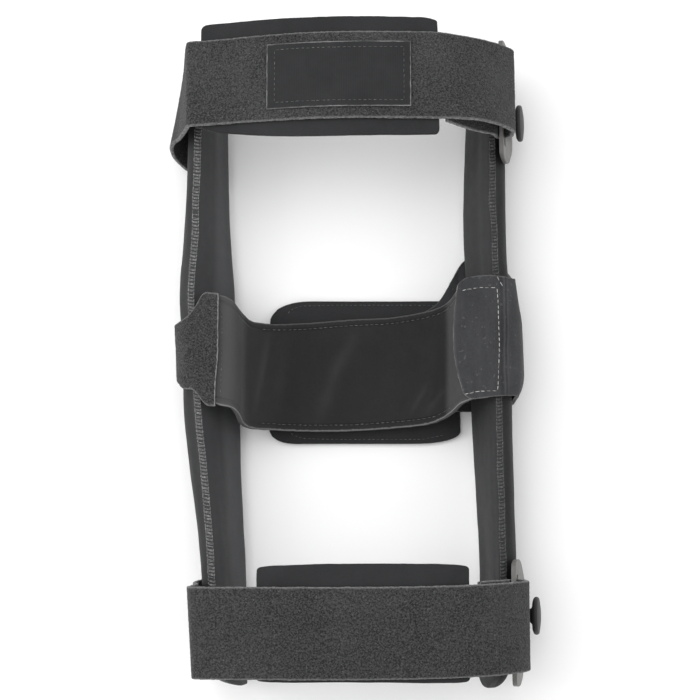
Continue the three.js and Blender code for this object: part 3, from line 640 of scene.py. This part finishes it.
def cloth_piece(name, line_at, columns, rows, thickness, face, edge, fray=0.2, rounding=0.3):
    """A sheet of cloth along the lines, with its cut edges rounded. Its map is its own flat cut, in metres."""
    bm = bmesh.new()
    cut = bm.loops.layers.uv.new("cut")
    side, first, last = (bm.verts.layers.float.new(layer) for layer in ("side", "first", "last"))
    bmesh.ops.create_grid(bm, x_segments=columns, y_segments=rows, size=0.5)
    lines, lengths = zip(*[evenly(curve_through(line_at(j / columns), 6), rows) for j in range(columns + 1)])
    spread = np.array(lines)
    widths = np.linalg.norm(np.diff(spread, axis=0), axis=2).sum(axis=0)
    flat = (float(widths.mean()) * mm, float(np.mean(lengths)) * mm)
    for loop_face in bm.faces:
        for corner in loop_face.loops:
            place = corner.vert.co
            corner[cut].uv = ((place.x + 0.5) * flat[0], (place.y + 0.5) * flat[1])
    for vert in bm.verts:
        j = round((vert.co.x + 0.5) * columns)
        i = round((vert.co.y + 0.5) * rows)
        vert.co = (Vector(lines[j][i]) + shift) * mm
        vert[side] = min(j, columns - j) / columns * widths[i] * mm
        vert[first] = i / rows * lengths[j] * mm
        vert[last] = (1 - i / rows) * lengths[j] * mm
        if fray and min(i, j, rows - i, columns - j) == 0:
            vert.co += noise.noise_vector(vert.co * 330) * fray * mm
    piece = new_piece(name, bm, face, edge)
    wall = piece.modifiers.new("wall", "SOLIDIFY")
    wall.thickness = thickness * mm
    wall.offset = 0
    wall.material_offset_rim = 1
    soft_edge = piece.modifiers.new("soft_edge", "BEVEL")
    soft_edge.width = thickness * rounding * mm
    soft_edge.segments = 2
    soft_edge.limit_method = "ANGLE"
    soft_edge.angle_limit = math.radians(50)
    return settled(piece), flat


def pile_tone(start, at, cut):
    curls = specks(start, at, 0.00105, 2, 0.8).smooth(0.32, 0.68)
    lint = specks(start, at, 0.001, 1).smooth(0.6, 0.74)
    worn = specks(start, at, 0.04, 3)
    return 0.46 * curls + 0.42 * lint + 0.34 * worn - 0.1


def frayed(start, at, name):
    """The way to an edge of a sheet, uneven as its fibres are."""
    return told(start, name) + (0.0014 * specks(start, at, 0.0018, 3) - 0.0007)


def raw_edges(start, at, cut):
    """The cut long edges of a strap are felted and pale, and its first end, cut across, is the palest."""
    sides = 1 - frayed(start, at, "side").smooth(0.0003, 0.0013)
    first = 1 - frayed(start, at, "first").smooth(0.0002, 0.0008)
    return 0.32 * sides + 0.8 * first


loop_pile = finish(
    "loop_pile",
    (0.01, 0.01, 0.0103),
    (0.112, 0.112, 0.1145),
    pile_tone,
    grain(0.85, 0.12, 0.004),
    lambda start, at, cut: specks(start, at, 0.0012, 2, 0.8) + 0.3 * specks(start, at, 0.0008),
    0.0011,
    pale=((0.3, 0.3, 0.3), raw_edges),
    Sheen_Weight=0.1,
    Sheen_Roughness=0.45,
    Specular_IOR_Level=0.1,
)
felt_edge = finish(
    "felt_edge",
    (0.04, 0.04, 0.041),
    (0.25, 0.25, 0.252),
    lambda start, at, cut: specks(start, at, 0.0016, 3, 0.7).smooth(0.3, 0.7),
    grain(0.9, 0.08, 0.002),
    grain(0, 1, 0.0006, 3),
    0.0003,
    Sheen_Weight=0.15,
    Specular_IOR_Level=0.1,
)


def pile(place, normal):
    """The tufts of the loops, a fraction of a millimetre high."""
    return 0.00016 * noise.noise(place * 850) + 0.0001 * noise.noise(place * 1500)


press = (Vector((88.5, -172.5, 0)) + shift) * mm
ring_radius, ring_width, ring_height = 7.6 * mm, 1.3 * mm, 0.35 * mm


def ring_mark(place, normal):
    """The faint round mark that the stud under the calf strap has left in it."""
    if normal.z < 0.3:
        return 0
    away = math.hypot(place.x - press.x, place.y - press.y)
    return ring_height * math.exp(-(((away - ring_radius) / ring_width) ** 2))


for key in ("thigh", "calf"):
    kind = strap_kinds[key]
    strap, flat = cloth_piece(
        key + "_strap_cloth", lambda share: strap_line(kind, share), 44, 390, strap_thickness, loop_pile, felt_edge
    )
    if key == "calf":
        worked(strap, ring_mark)
    worked(strap, pile)
    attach(strap, "root")
    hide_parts(key + "_strap")

# The label patch: a dark woven patch with heat-cut pale edges, sewn on the thigh strap with a line of running
# stitch inside its border. It is bare.
label_width, label_height, label_thickness, label_centre = 82.5, 38.2, 0.9, -6.3


def sealed(start, at, cut):
    """The pale line along the edges, where the heat has sealed them."""
    way = told(start, "side").least(told(start, "first")).least(told(start, "last"))
    worn = 0.35 + 0.9 * specks(start, at, 0.012, 3).smooth(0.35, 0.65)
    return worn * (1 - (way + 0.0009 * specks(start, at, 0.004)).smooth(0.0005, 0.0013))


label_weave = finish(
    "label_weave",
    (0.01, 0.0102, 0.011),
    (0.032, 0.0325, 0.034),
    lambda start, at, cut: 0.35 * knit_height(start, cut, 0.0007) + 0.6 * specks(start, at, 0.015, 3),
    grain(0.55, 0.2, 0.008),
    lambda start, at, cut: knit_height(start, cut, 0.0007),
    0.00008,
    pale=((0.2, 0.2, 0.2), sealed),
    Specular_IOR_Level=0.14,
)
sealed_edge = finish(
    "sealed_edge",
    (0.04, 0.04, 0.04),
    (0.16, 0.16, 0.16),
    grain(0, 1, 0.003),
    grain(0.5, 0.2, 0.002),
    grain(0, 1, 0.0008),
    0.0001,
)


def over_strap(kind, x, y, away):
    """The point that stands away from the middle of a strap's front run, at that place in plan."""
    share = min(max((kind["middle"] - y) / strap_width + 0.5, 0), 1)
    line = curve_through(front_run(kind, 0, share, 0), 8)
    n = max(int(np.argmax(line[:, 0] > x)), 1)
    before, after = line[n - 1], line[n]
    z = mix(before[2], after[2], (x - before[0]) / (after[0] - before[0]))
    way = Vector(after - before).normalized()
    return Vector((x - way.z * away, y, z + way.x * away))


def label_line(share):
    away = strap_thickness / 2 + layer_gap + label_thickness / 2
    y = strap_kinds["thigh"]["middle"] + (0.5 - share) * label_height
    xs = np.linspace(label_centre - label_width / 2, label_centre + label_width / 2, 13)
    return [over_strap(strap_kinds["thigh"], x, y, away) for x in xs]


def running_stitch(name, over, paths, pitch, stitch, radius, material, sink=0.35):
    """Dashes of thread along paths in plan, laid on top of the piece that they are sewn through."""
    tree = BVHTree.FromObject(over, bpy.context.evaluated_depsgraph_get())

    def touch(x, y):
        spot = (Vector((x, y, 0)) + shift) * mm
        hit, normal, _, _ = tree.ray_cast(Vector((spot.x, spot.y, 0.2)), Vector((0, 0, -1)))
        return hit and hit + normal * radius * (1 - sink) * mm

    runs = []
    for path in paths:
        line = np.array(path, float)
        count = max(int(np.linalg.norm(np.diff(line, axis=0), axis=1).sum() / pitch), 1)
        spots, _ = evenly(line, count)
        for a, b in zip(spots[:-1], spots[1:]):
            loose = noise.noise_vector(Vector((a[0] * 3.1, a[1] * 3.1, 5)))
            aside = np.array((a[1] - b[1], b[0] - a[0])) * 0.09
            near = mix(a, b, 0.5 - stitch * (0.5 + 0.25 * loose.x)) + aside * loose.z
            far = mix(a, b, 0.5 + stitch * (0.5 + 0.25 * loose.y)) - aside * loose.x
            ends = touch(*near), touch(*far)
            if all(ends):
                runs.append(ends)
    return thread_piece(name, runs, radius * mm, material)


label, flat = cloth_piece("label_patch_cloth", label_line, 24, 52, label_thickness, label_weave, sealed_edge, fray=0.08)
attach(label, "root")
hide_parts("label_patch")
border_x, border_y = label_width / 2 - 4.1, label_height / 2 - 3.6
label_y = strap_kinds["thigh"]["middle"]
corners = [(label_centre + sx * border_x, label_y + sy * border_y) for sx, sy in ((-1, 1), (1, 1), (1, -1), (-1, -1))]
border = [(corners[n], corners[(n + 1) % 4]) for n in range(4)]
label_stitch = running_stitch("label_stitch", label, border, 2.9, 0.6, 0.19, thread_grey)
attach(label_stitch, "root")

# The two strap pads: flat cushions of foam in smooth knit behind the straps. They are cut square, with soft edges
# on the side of the leg.
pad_knit = finish(
    "pad_knit",
    (0.009, 0.0092, 0.0099),
    (0.032, 0.0325, 0.0345),
    lambda start, at, cut: 0.7 * specks(start, at, 0.04, 3) + 0.3 * specks(start, at, 0.0016, 3),
    grain(0.62, 0.2, 0.008),
    lambda start, at, cut: 0.6 * knit_height(start, at) + 0.6 * specks(start, at, 0.0014, 3),
    0.00012,
    Sheen_Weight=0.05,
    Specular_IOR_Level=0.16,
)


def plain_solid(node):
    bm = bmesh.new()
    bm.from_mesh(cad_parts[node].data)
    bmesh.ops.remove_doubles(bm, verts=bm.verts, dist=1e-5)
    return bm


def soften_edges(bm, width, segments):
    sharp = math.radians(55)
    rims = [edge for edge in bm.edges if len(edge.link_faces) == 2 and edge.calc_face_angle() > sharp]
    bmesh.ops.bevel(
        bm,
        geom=rims,
        offset=width * mm,
        segments=segments,
        profile=0.5,
        affect="EDGES",
        clamp_overlap=True,
        material=-1,
    )


def padded_copy(name, node, levels, shrink, pressure, limit, material):
    """A padded piece from the plain solid of its node: made of quads, rounded, drawn in and filled."""
    bm = plain_solid(node)
    flat, square = math.radians(40), math.radians(120)
    bmesh.ops.join_triangles(bm, faces=bm.faces, angle_face_threshold=flat, angle_shape_threshold=square)
    soften_edges(bm, 0.5, 2)
    piece = new_piece(name, bm, material)
    rounded(piece, levels)
    settled(piece)
    worked(piece, lambda place, normal: -shrink)
    return puffed(piece, pressure, limit)


corner_left = {"thigh": 3.4, "calf": 2}
corner_right = {"thigh": 2.6, "calf": 2.2}
for key in ("thigh", "calf"):
    pad = padded_copy(key + "_pad_cushion", key + "_pad", 2, 0.0001, 3.5, 0.0003, pad_knit)
    worked(pad, lambda place, normal: 0.00018 * noise.noise(place * 45) + 0.00012 * noise.noise(place * 110))
    low, high = (Vector(corner) for corner in (pad.bound_box[0], pad.bound_box[6]))
    for vert in pad.data.vertices:
        for end, corner in ((low.x, corner_left[key]), (high.x, corner_right[key])):
            from_end = abs(vert.co.x - end) / mm
            middle_y, half = (low.y + high.y) / 2, (high.y - low.y) / 2
            away = vert.co.y - middle_y
            drawn_in = corner - math.sqrt(max(corner**2 - max(corner - from_end, 0) ** 2, 0))
            vert.co.y -= math.copysign(drawn_in * mm * ease(half - 12 * mm, half - 3 * mm, abs(away)), away)
    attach(pad, "root")
    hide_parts(key + "_pad")

# The popliteal band: one layer of smooth dark knit on foam across the back of the knee, with a hem stitched along
# both edges. It bends sharply where it leaves the sleeves, which leaves soft creases in it.
band_width = 68
band_thickness = 3
hem_inset = 3.9
tab_thickness = 2.1
rear_pad_thickness = 7
# across, rise, upper, lower
band_table = [
    (-0.93, 1, 0.44, -0.44), (-0.86, 1, 0.48, -0.485), (-0.785, 0.985, 0.44, -0.507), (-0.745, 0.89, 0.365, -0.56),
    (-0.725, 0.66, 0.34, -0.63), (-0.675, 0.33, 0.3, -0.665), (-0.56, 0.12, 0.288, -0.673), (-0.31, 0.025, 0.3, -0.684),
    (0, 0, 0.334, -0.68), (0.3, 0.03, 0.354, -0.656), (0.55, 0.17, 0.405, -0.62), (0.64, 0.4, 0.435, -0.576),
    (0.69, 0.69, 0.478, -0.532), (0.74, 0.92, 0.566, -0.47), (0.775, 0.985, 0.59, -0.45), (0.82, 1, 0.61, -0.43),
    (0.93, 1, 0.61, -0.41),
]
band_high = sleeve_front + layer_gap + band_thickness / 2
band_low = rear_pad_thickness + layer_gap * 2 + tab_thickness + band_thickness / 2 + 1.4


def band_line(share):
    return [
        Vector((across * half_span, mix(upper, lower, share) * band_width, mix(band_low, band_high, rise)))
        for across, rise, upper, lower in band_table
    ]


def band_tone(start, at, cut):
    """Painted shade darkens the middle, where the band is stretched across the leg and sinks between the sleeves;
    painted light brightens its ends on the sleeves, and painted highlights lie on the ridges of its creases.
    """
    # Painted light on the band's ends and painted shade in its sunken middle
    left = 1 - 0.6 * told(start, "first").smooth(0.029, 0.037) - 0.4 * told(start, "first").smooth(0.042, 0.07)
    right = 1 - told(start, "last").smooth(0.031, 0.042)
    mottle = 0.19 * specks(start, at, 0.03, 3) + 0.1 * specks(start, at, 0.0014, 3)
    return mottle + 0.72 * (left + right) + 0.16 * told(start, "crease_highlight")


def hem(start):
    """1 along the lines of stitches, where they draw the cloth in."""
    return told(start, "side").near(hem_inset * mm, 0.0011)


def band_rim(start, at, cut):
    """The cut edges are pale, more so beyond the bend on the left sleeve."""
    beyond = start.node("SeparateXYZ", output=0, Vector=cut).smooth(0.03, 0.04)
    return (0.18 + 0.34 * beyond) * (1 - frayed(start, at, "side").smooth(0.0003, 0.0014))


band_knit = finish(
    "band_knit",
    (0.0072, 0.0072, 0.0074),
    (0.064, 0.064, 0.0655),
    band_tone,
    grain(0.6, 0.22, 0.008),
    lambda start, at, cut: 0.6 * knit_height(start, cut) + 0.6 * specks(start, at, 0.0014, 3) - 4 * hem(start),
    0.00012,
    pale=((0.3, 0.3, 0.3), band_rim),
    Sheen_Weight=0.05,
    Specular_IOR_Level=0.16,
)
band_edge = finish(
    "band_edge",
    (0.03, 0.03, 0.031),
    (0.09, 0.09, 0.092),
    grain(0, 1, 0.001, 3, 0.7),
    grain(0.8, 0.1, 0.002),
    grain(0, 1, 0.0006, 3),
    0.0002,
)
# Each crease: where it starts and ends in plan, how wide and how high it stands
creases = [
    ((-49.5, 12), (-57.5, -33), 2.0, 1.0),
    ((-40, 14), (-44, -30), 3.5, 0.5),
    ((4.6, 14), (-8, -9), 4.0, 0.7),
    ((-6, -3), (-18, -38), 4.2, 0.85),
    ((20, 12), (14, -30), 6, -0.5),
    ((47.5, -19), (37, -35), 1.9, 1.1),
    ((56, -23), (47, -35), 1.8, 1.0),
    ((40, -24), (30, -38), 3.2, -0.6),
    ((56, 16), (50, -24), 4, -0.7),
]


def crease_rise(place):
    spot = Vector((place.x, place.y)) / mm - shift.xy
    height = 0
    for start, end, width, rise in creases:
        start, end = Vector(start), Vector(end)
        way = end - start
        along = min(max((spot - start).dot(way) / way.length_squared, 0), 1)
        away = (spot - start - way * along).length
        height += rise * math.exp(-((away / width) ** 2)) * math.sin(math.pi * mix(0.1, 0.9, along)) ** 0.7
    return height


band, flat = cloth_piece("popliteal_band_cloth", band_line, 40, 150, band_thickness, band_knit, band_edge)
# A painted highlight on the ridges of the creases, as strong as each ridge is high
crease_highlight = band.data.attributes.new("crease_highlight", "FLOAT", "POINT")
crease_highlight.data.foreach_set("value", [max(crease_rise(vert.co), 0) for vert in band.data.vertices])
worked(band, lambda place, normal: crease_rise(place) * mm * (1 if normal.z > 0 else -1))
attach(band, "root")
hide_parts("popliteal_band")
hem_lines = []
for share, inward in ((0, -hem_inset), (1, hem_inset)):
    line = curve_through(band_line(share), 6)
    hem_lines.append([(x, y + inward) for x, y, z in line if -56 < x < 62])
hem_lines.append([(-76.3, 24), (-75.6, 4), (-76.6, -29)])
hem_stitch = running_stitch("popliteal_band_stitch", band, hem_lines, 3.1, 0.6, 0.24, thread_grey)
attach(hem_stitch, "root")

# The two tabs: sewn on the band's ends, they fold round the sleeves and fasten on the rear pad. The left one is
# loop fabric with a raw pale edge, the right one is brushed knit with a box of stitching.
tab_tuck = 2
tab_front_height = band_high + band_thickness / 2 + layer_gap + tab_thickness / 2
tab_rear_height = rear_pad_thickness + layer_gap + tab_thickness / 2
# front: across, drop, upper, lower, upper_in, lower_in. rear: across, upper, lower
tab_kinds = {
    "left": dict(
        table=left_sleeve, side=-1, slack=0.6, sway=-0.016, wrap=(0.231, -0.275),
        front=[
            (-0.865, 0, 0.49, -0.497, 0, 0), (-0.915, 0, 0.495, -0.492, 0, 0), (-0.958, 0, 0.495, -0.462, 0, 0),
            (-1.03, 0.2, 0.347, -0.352, 0, 0), (-1.085, 1, 0.274, -0.345, 0, 0),
        ],
        rear=[(-0.74, 0.22, -0.25), (-0.64, 0.2, -0.24), (-0.55, 0.2, -0.24), (-0.42, 0.2, -0.24)],
    ),
    "right": dict(
        table=right_sleeve, side=1, slack=5.2, sway=0, wrap=(0.63, -0.395),
        front=[
            (0.678, 0, 0.56, -0.39, 0.03, 0.068), (0.705, 0, 0.59, -0.4, 0.02, 0.05),
            (0.75, 0, 0.622, -0.42, 0.01, 0.02), (0.81, 0, 0.637, -0.433, 0, 0), (0.89, 0, 0.645, -0.42, 0, 0),
            (0.96, 0.1, 0.645, -0.41, 0, 0),
        ],
        rear=[(0.815, 0.925, -0.5), (0.765, 0.85, -0.5), (0.7, 0.7, -0.49), (0.6, 0.49, -0.45), (0.5, 0.4, -0.42)],
    ),
}
# share of the tab's width from its upper edge, and how loose it is there
tab_bulge = [(0, 0), (0.19, 0.5), (0.32, 0.84), (0.5, 0.96), (0.74, 1), (0.86, 0.9), (0.94, 0.55), (1, 0.05)]


def tab_line(kind, share):
    from_middle = (2 * share - 1) ** 2
    points = []
    for across, drop, upper, lower, upper_in, lower_in in kind["front"]:
        bow = (upper_in if share < 0.5 else lower_in) * from_middle
        z = tab_front_height - drop * tab_thickness
        bow += kind["sway"] * ease(0.5, 0.85, share) * (len(points) < 2)
        points.append(Vector(((across + bow) * half_span, mix(upper, lower, share) * band_width, z)))
    y = mix(*kind["wrap"], share) * band_width
    rear_y = mix(*kind["rear"][0][1:], share) * band_width
    loose = kind["slack"] * read_table(tab_bulge, share)[0]
    points += wrap_round(kind["table"], kind["side"], y, tab_thickness, loose, rear_y - y)
    behind = behind_sleeve(kind["table"], kind["side"], rear_y, tab_thickness, tab_tuck)
    points.append(behind)
    for n, (across, upper, lower) in enumerate(kind["rear"]):
        climb = min(max((n - 0.3) / 2, 0), 1)
        height = mix(behind.z, tab_rear_height, climb)
        points.append(Vector((across * half_span, mix(upper, lower, share) * band_width, height)))
    return points


thread_white = finish(
    "thread_white",
    (0.09, 0.09, 0.09),
    (0.42, 0.42, 0.41),
    lambda start, at, cut: specks(start, at, 0.003, 3).smooth(0.3, 0.6),
    grain(0.6, 0.2, 0.003),
    grain(0, 1, 0.0006),
    0.0001,
)


def brushed_tone(start, at, cut):
    nap = specks(start, at, 0.0016, 3, 0.75)
    lint = specks(start, at, 0.0024, 1).smooth(0.66, 0.74)
    drawn = start.node("VectorMath", settings={"operation": "MULTIPLY"}, i0=at, i1=(1, 0.18, 0.5))
    streaks = specks(start, drawn, 0.004, 3)
    x = start.node("SeparateXYZ", output=0, Vector=at) / mm - shift.x + 2.4 * specks(start, at, 0.03, 3) - 1.2
    # Painted highlights along the two fold ridges and painted shade in the hollows beside them
    folds = 0.24 * x.near(91.4, 0.9) + 0.2 * x.near(93.6, 0.8) - 0.2 * x.near(89.6, 1.8) - 0.14 * x.near(92.5, 1)
    mottle = 0.4 * specks(start, at, 0.016, 3) + 0.34 * streaks + 0.42 * nap
    return mottle + 0.5 * lint + folds - 0.18


def brushed_rim(start, at, cut):
    """The cut edges of the tab are a little paler than its face."""
    side = frayed(start, at, "side").smooth(0.0001, 0.0009)
    first = frayed(start, at, "first").smooth(0.0001, 0.0016)
    return 0.55 - 0.35 * side - 0.2 * first


brushed_knit = finish(
    "brushed_knit",
    (0.016, 0.0162, 0.0172),
    (0.075, 0.076, 0.08),
    brushed_tone,
    grain(0.78, 0.15, 0.004),
    lambda start, at, cut: specks(start, at, 0.0018, 3, 0.7) + 0.3 * knit_height(start, cut, 0.0008),
    0.00035,
    pale=((0.17, 0.17, 0.17), brushed_rim),
    Sheen_Weight=0.08,
    Specular_IOR_Level=0.12,
)


def tab_folds(place, normal):
    """Two low folds where the tab turns round the sleeve, and a slight unevenness of its face."""
    x, y = place.x / mm - shift.x, place.y / mm - shift.y
    x += 0.7 * noise.noise(Vector((y * 0.07, 0, 4)))
    front = ease(0.6, 0.9, abs(normal.z)) * (1 if normal.z > 0 else -1) * ease(60, 72, x)
    folds = 0.5 * math.exp(-(((x - 92.2 - 0.01 * y) / 0.7) ** 2)) + 0.26 * math.exp(-(((x - 94.4) / 0.6) ** 2))
    dip = -0.3 * math.exp(-(((x - 68.5 + 0.02 * y) / 1.6) ** 2))
    return (front * (folds + dip) + 0.22 * noise.noise(place * 70) + 0.1 * noise.noise(place * 300)) * mm


for key, face, slot_name in (("left", loop_pile, "loop_fabric"), ("right", brushed_knit, "tab_fabric")):
    kind = tab_kinds[key]
    tab, flat = cloth_piece(
        key + "_tab_cloth", lambda share: tab_line(kind, share), 48, 130, tab_thickness, face, felt_edge
    )
    worked(tab, pile if key == "left" else tab_folds)
    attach(tab, "root")
    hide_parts(key + "_tab")
    if key == "right":
        edge_x, foot_y = 87.8, -24.8
        box_path = [
            [(66, 34.6), (70, 35.6), (75.7, 36.4), (edge_x - 1.5, 36.4)],
            [(edge_x - 0.6, 36.4), (edge_x, 20), (edge_x + 0.4, 2), (edge_x - 0.9, foot_y)],
            [(edge_x - 1.5, foot_y), (77.4, foot_y), (67, -26.8)],
            [(87.2, 43.5), (88.4, 40.6), (91, 37.4)],
        ]
        box_stitch = running_stitch("right_tab_stitch", tab, box_path, 3.1, 0.7, 0.27, thread_white)
        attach(box_stitch, "root")

# The rear pad: a flat rounded cushion of foam in smooth knit, with a line of stitching inside its edge. The tabs
# fasten on it, and the brace lies on it.
rear_pad = padded_copy("popliteal_pad_cushion", "popliteal_pad", 1, 0.0002, 3.5, 0.0004, pad_knit)
for vert in rear_pad.data.vertices:
    vert.co.z = max(vert.co.z, 0.00005)
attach(rear_pad, "root")
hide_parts("popliteal_pad")

seam_path = [
    [(-39, 27), (-36, 30.5), (-30, 32.3), (0, 32.8), (40, 32.8), (62, 32)],
    [(-40, -42), (-36, -48), (-28, -50.4), (0, -50.8), (45, -50.8), (58, -48)],
]
pad_stitch = running_stitch("popliteal_pad_stitch", rear_pad, seam_path, 2.8, 0.6, 0.17, thread_grey)
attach(pad_stitch, "root")

# The slot plates: grey plates moulded in one piece, with a long slot for the strap and softly rounded edges. They
# stand on the outside of the right sleeve.
plate_grey = finish(
    "plate_grey",
    (0.07, 0.068, 0.064),
    (0.15, 0.147, 0.138),
    lambda start, at, cut: 0.6 * specks(start, at, 0.012, 3) + 0.4 * specks(start, at, 0.002),
    grain(0.38, 0.2, 0.004, 3),
    grain(0, 1, 0.0007),
    0.00003,
)
for key in ("upper", "lower"):
    bm = plain_solid(key + "_slot_plate")
    bmesh.ops.dissolve_limit(bm, angle_limit=math.radians(1), verts=bm.verts, edges=bm.edges)
    soften_edges(bm, 0.55, 3)
    plate = new_piece(key + "_slot_plate_moulding", bm, plate_grey)
    plate.data.set_sharp_from_angle(angle=math.radians(35))
    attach(plate, "root")
    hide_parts(key + "_slot_plate")

# The buttons: domed black plastic discs on short stems, turned over at the rim. Each is pressed through its plate
# and holds it on the sleeve.
button_radius = 11.2
button_black = finish(
    "button_black",
    (0.012, 0.012, 0.0125),
    (0.03, 0.03, 0.031),
    grain(0, 1, 0.006, 3),
    grain(0.42, 0.18, 0.003, 3),
    grain(0, 1, 0.0006),
    0.00002,
    Specular_IOR_Level=0.3,
)
for key, strap_key, along, stand in (("upper", "thigh", -9, 5), ("lower", "calf", 3, 7.2)):
    _, outward, origin, _ = plate_frame(strap_kinds[strap_key]["plate_y"])
    origin = origin + Vector((0, along, 0))
    disc = plate_thickness / 2 + stand
    profile = [
        (0, disc - 7.2), (4, disc - 7.2), (4, disc - 2.4), (4.8, disc - 1.5), (6.2, disc - 1), (9.4, disc - 0.6),
        (10.6, disc), (11.1, disc + 0.6), (button_radius, disc + 1.4), (11.05, disc + 2.2), (10.5, disc + 2.75),
        (9.6, disc + 2.95), (9.2, disc + 2.85), (8.6, disc + 3.1), (6, disc + 3.5), (3, disc + 3.72), (0, disc + 3.8),
    ]
    bm = bmesh.new()
    chain = [bm.verts.new((radius, 0, height)) for radius, height in profile]
    edges = [bm.edges.new(pair) for pair in zip(chain, chain[1:])]
    bmesh.ops.spin(bm, geom=chain + edges, axis=(0, 0, 1), angle=math.tau, steps=64, use_merge=True)
    bmesh.ops.remove_doubles(bm, verts=bm.verts, dist=1e-4)
    bmesh.ops.recalc_face_normals(bm, faces=bm.faces)
    place = Matrix.Translation((origin + shift) * mm) @ outward.to_track_quat("Z", "Y").to_matrix().to_4x4()
    bm.transform(place @ Matrix.Scale(mm, 4))
    button = new_piece(key + "_button_cap", bm, button_black)
    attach(button, "root")
    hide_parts(key + "_button")

# The floor: a wide plane in a plain pale finish, as the paper under a product picture. It lies just under the
# brace, and it is the stage's and no part of the brace.
bpy.ops.mesh.primitive_plane_add(size=8, location=(0, 0, -0.0004))
floor = bpy.context.object
floor.name = "floor"
floor_paint = finish(
    "floor_paint",
    (0.93, 0.93, 0.93),
    (0.96, 0.96, 0.96),
    grain(0, 1, 0.5),
    grain(0.8, 0.1, 0.5),
    grain(0, 1, 0.1),
    0.00001,
)
floor.data.materials.append(floor_paint)
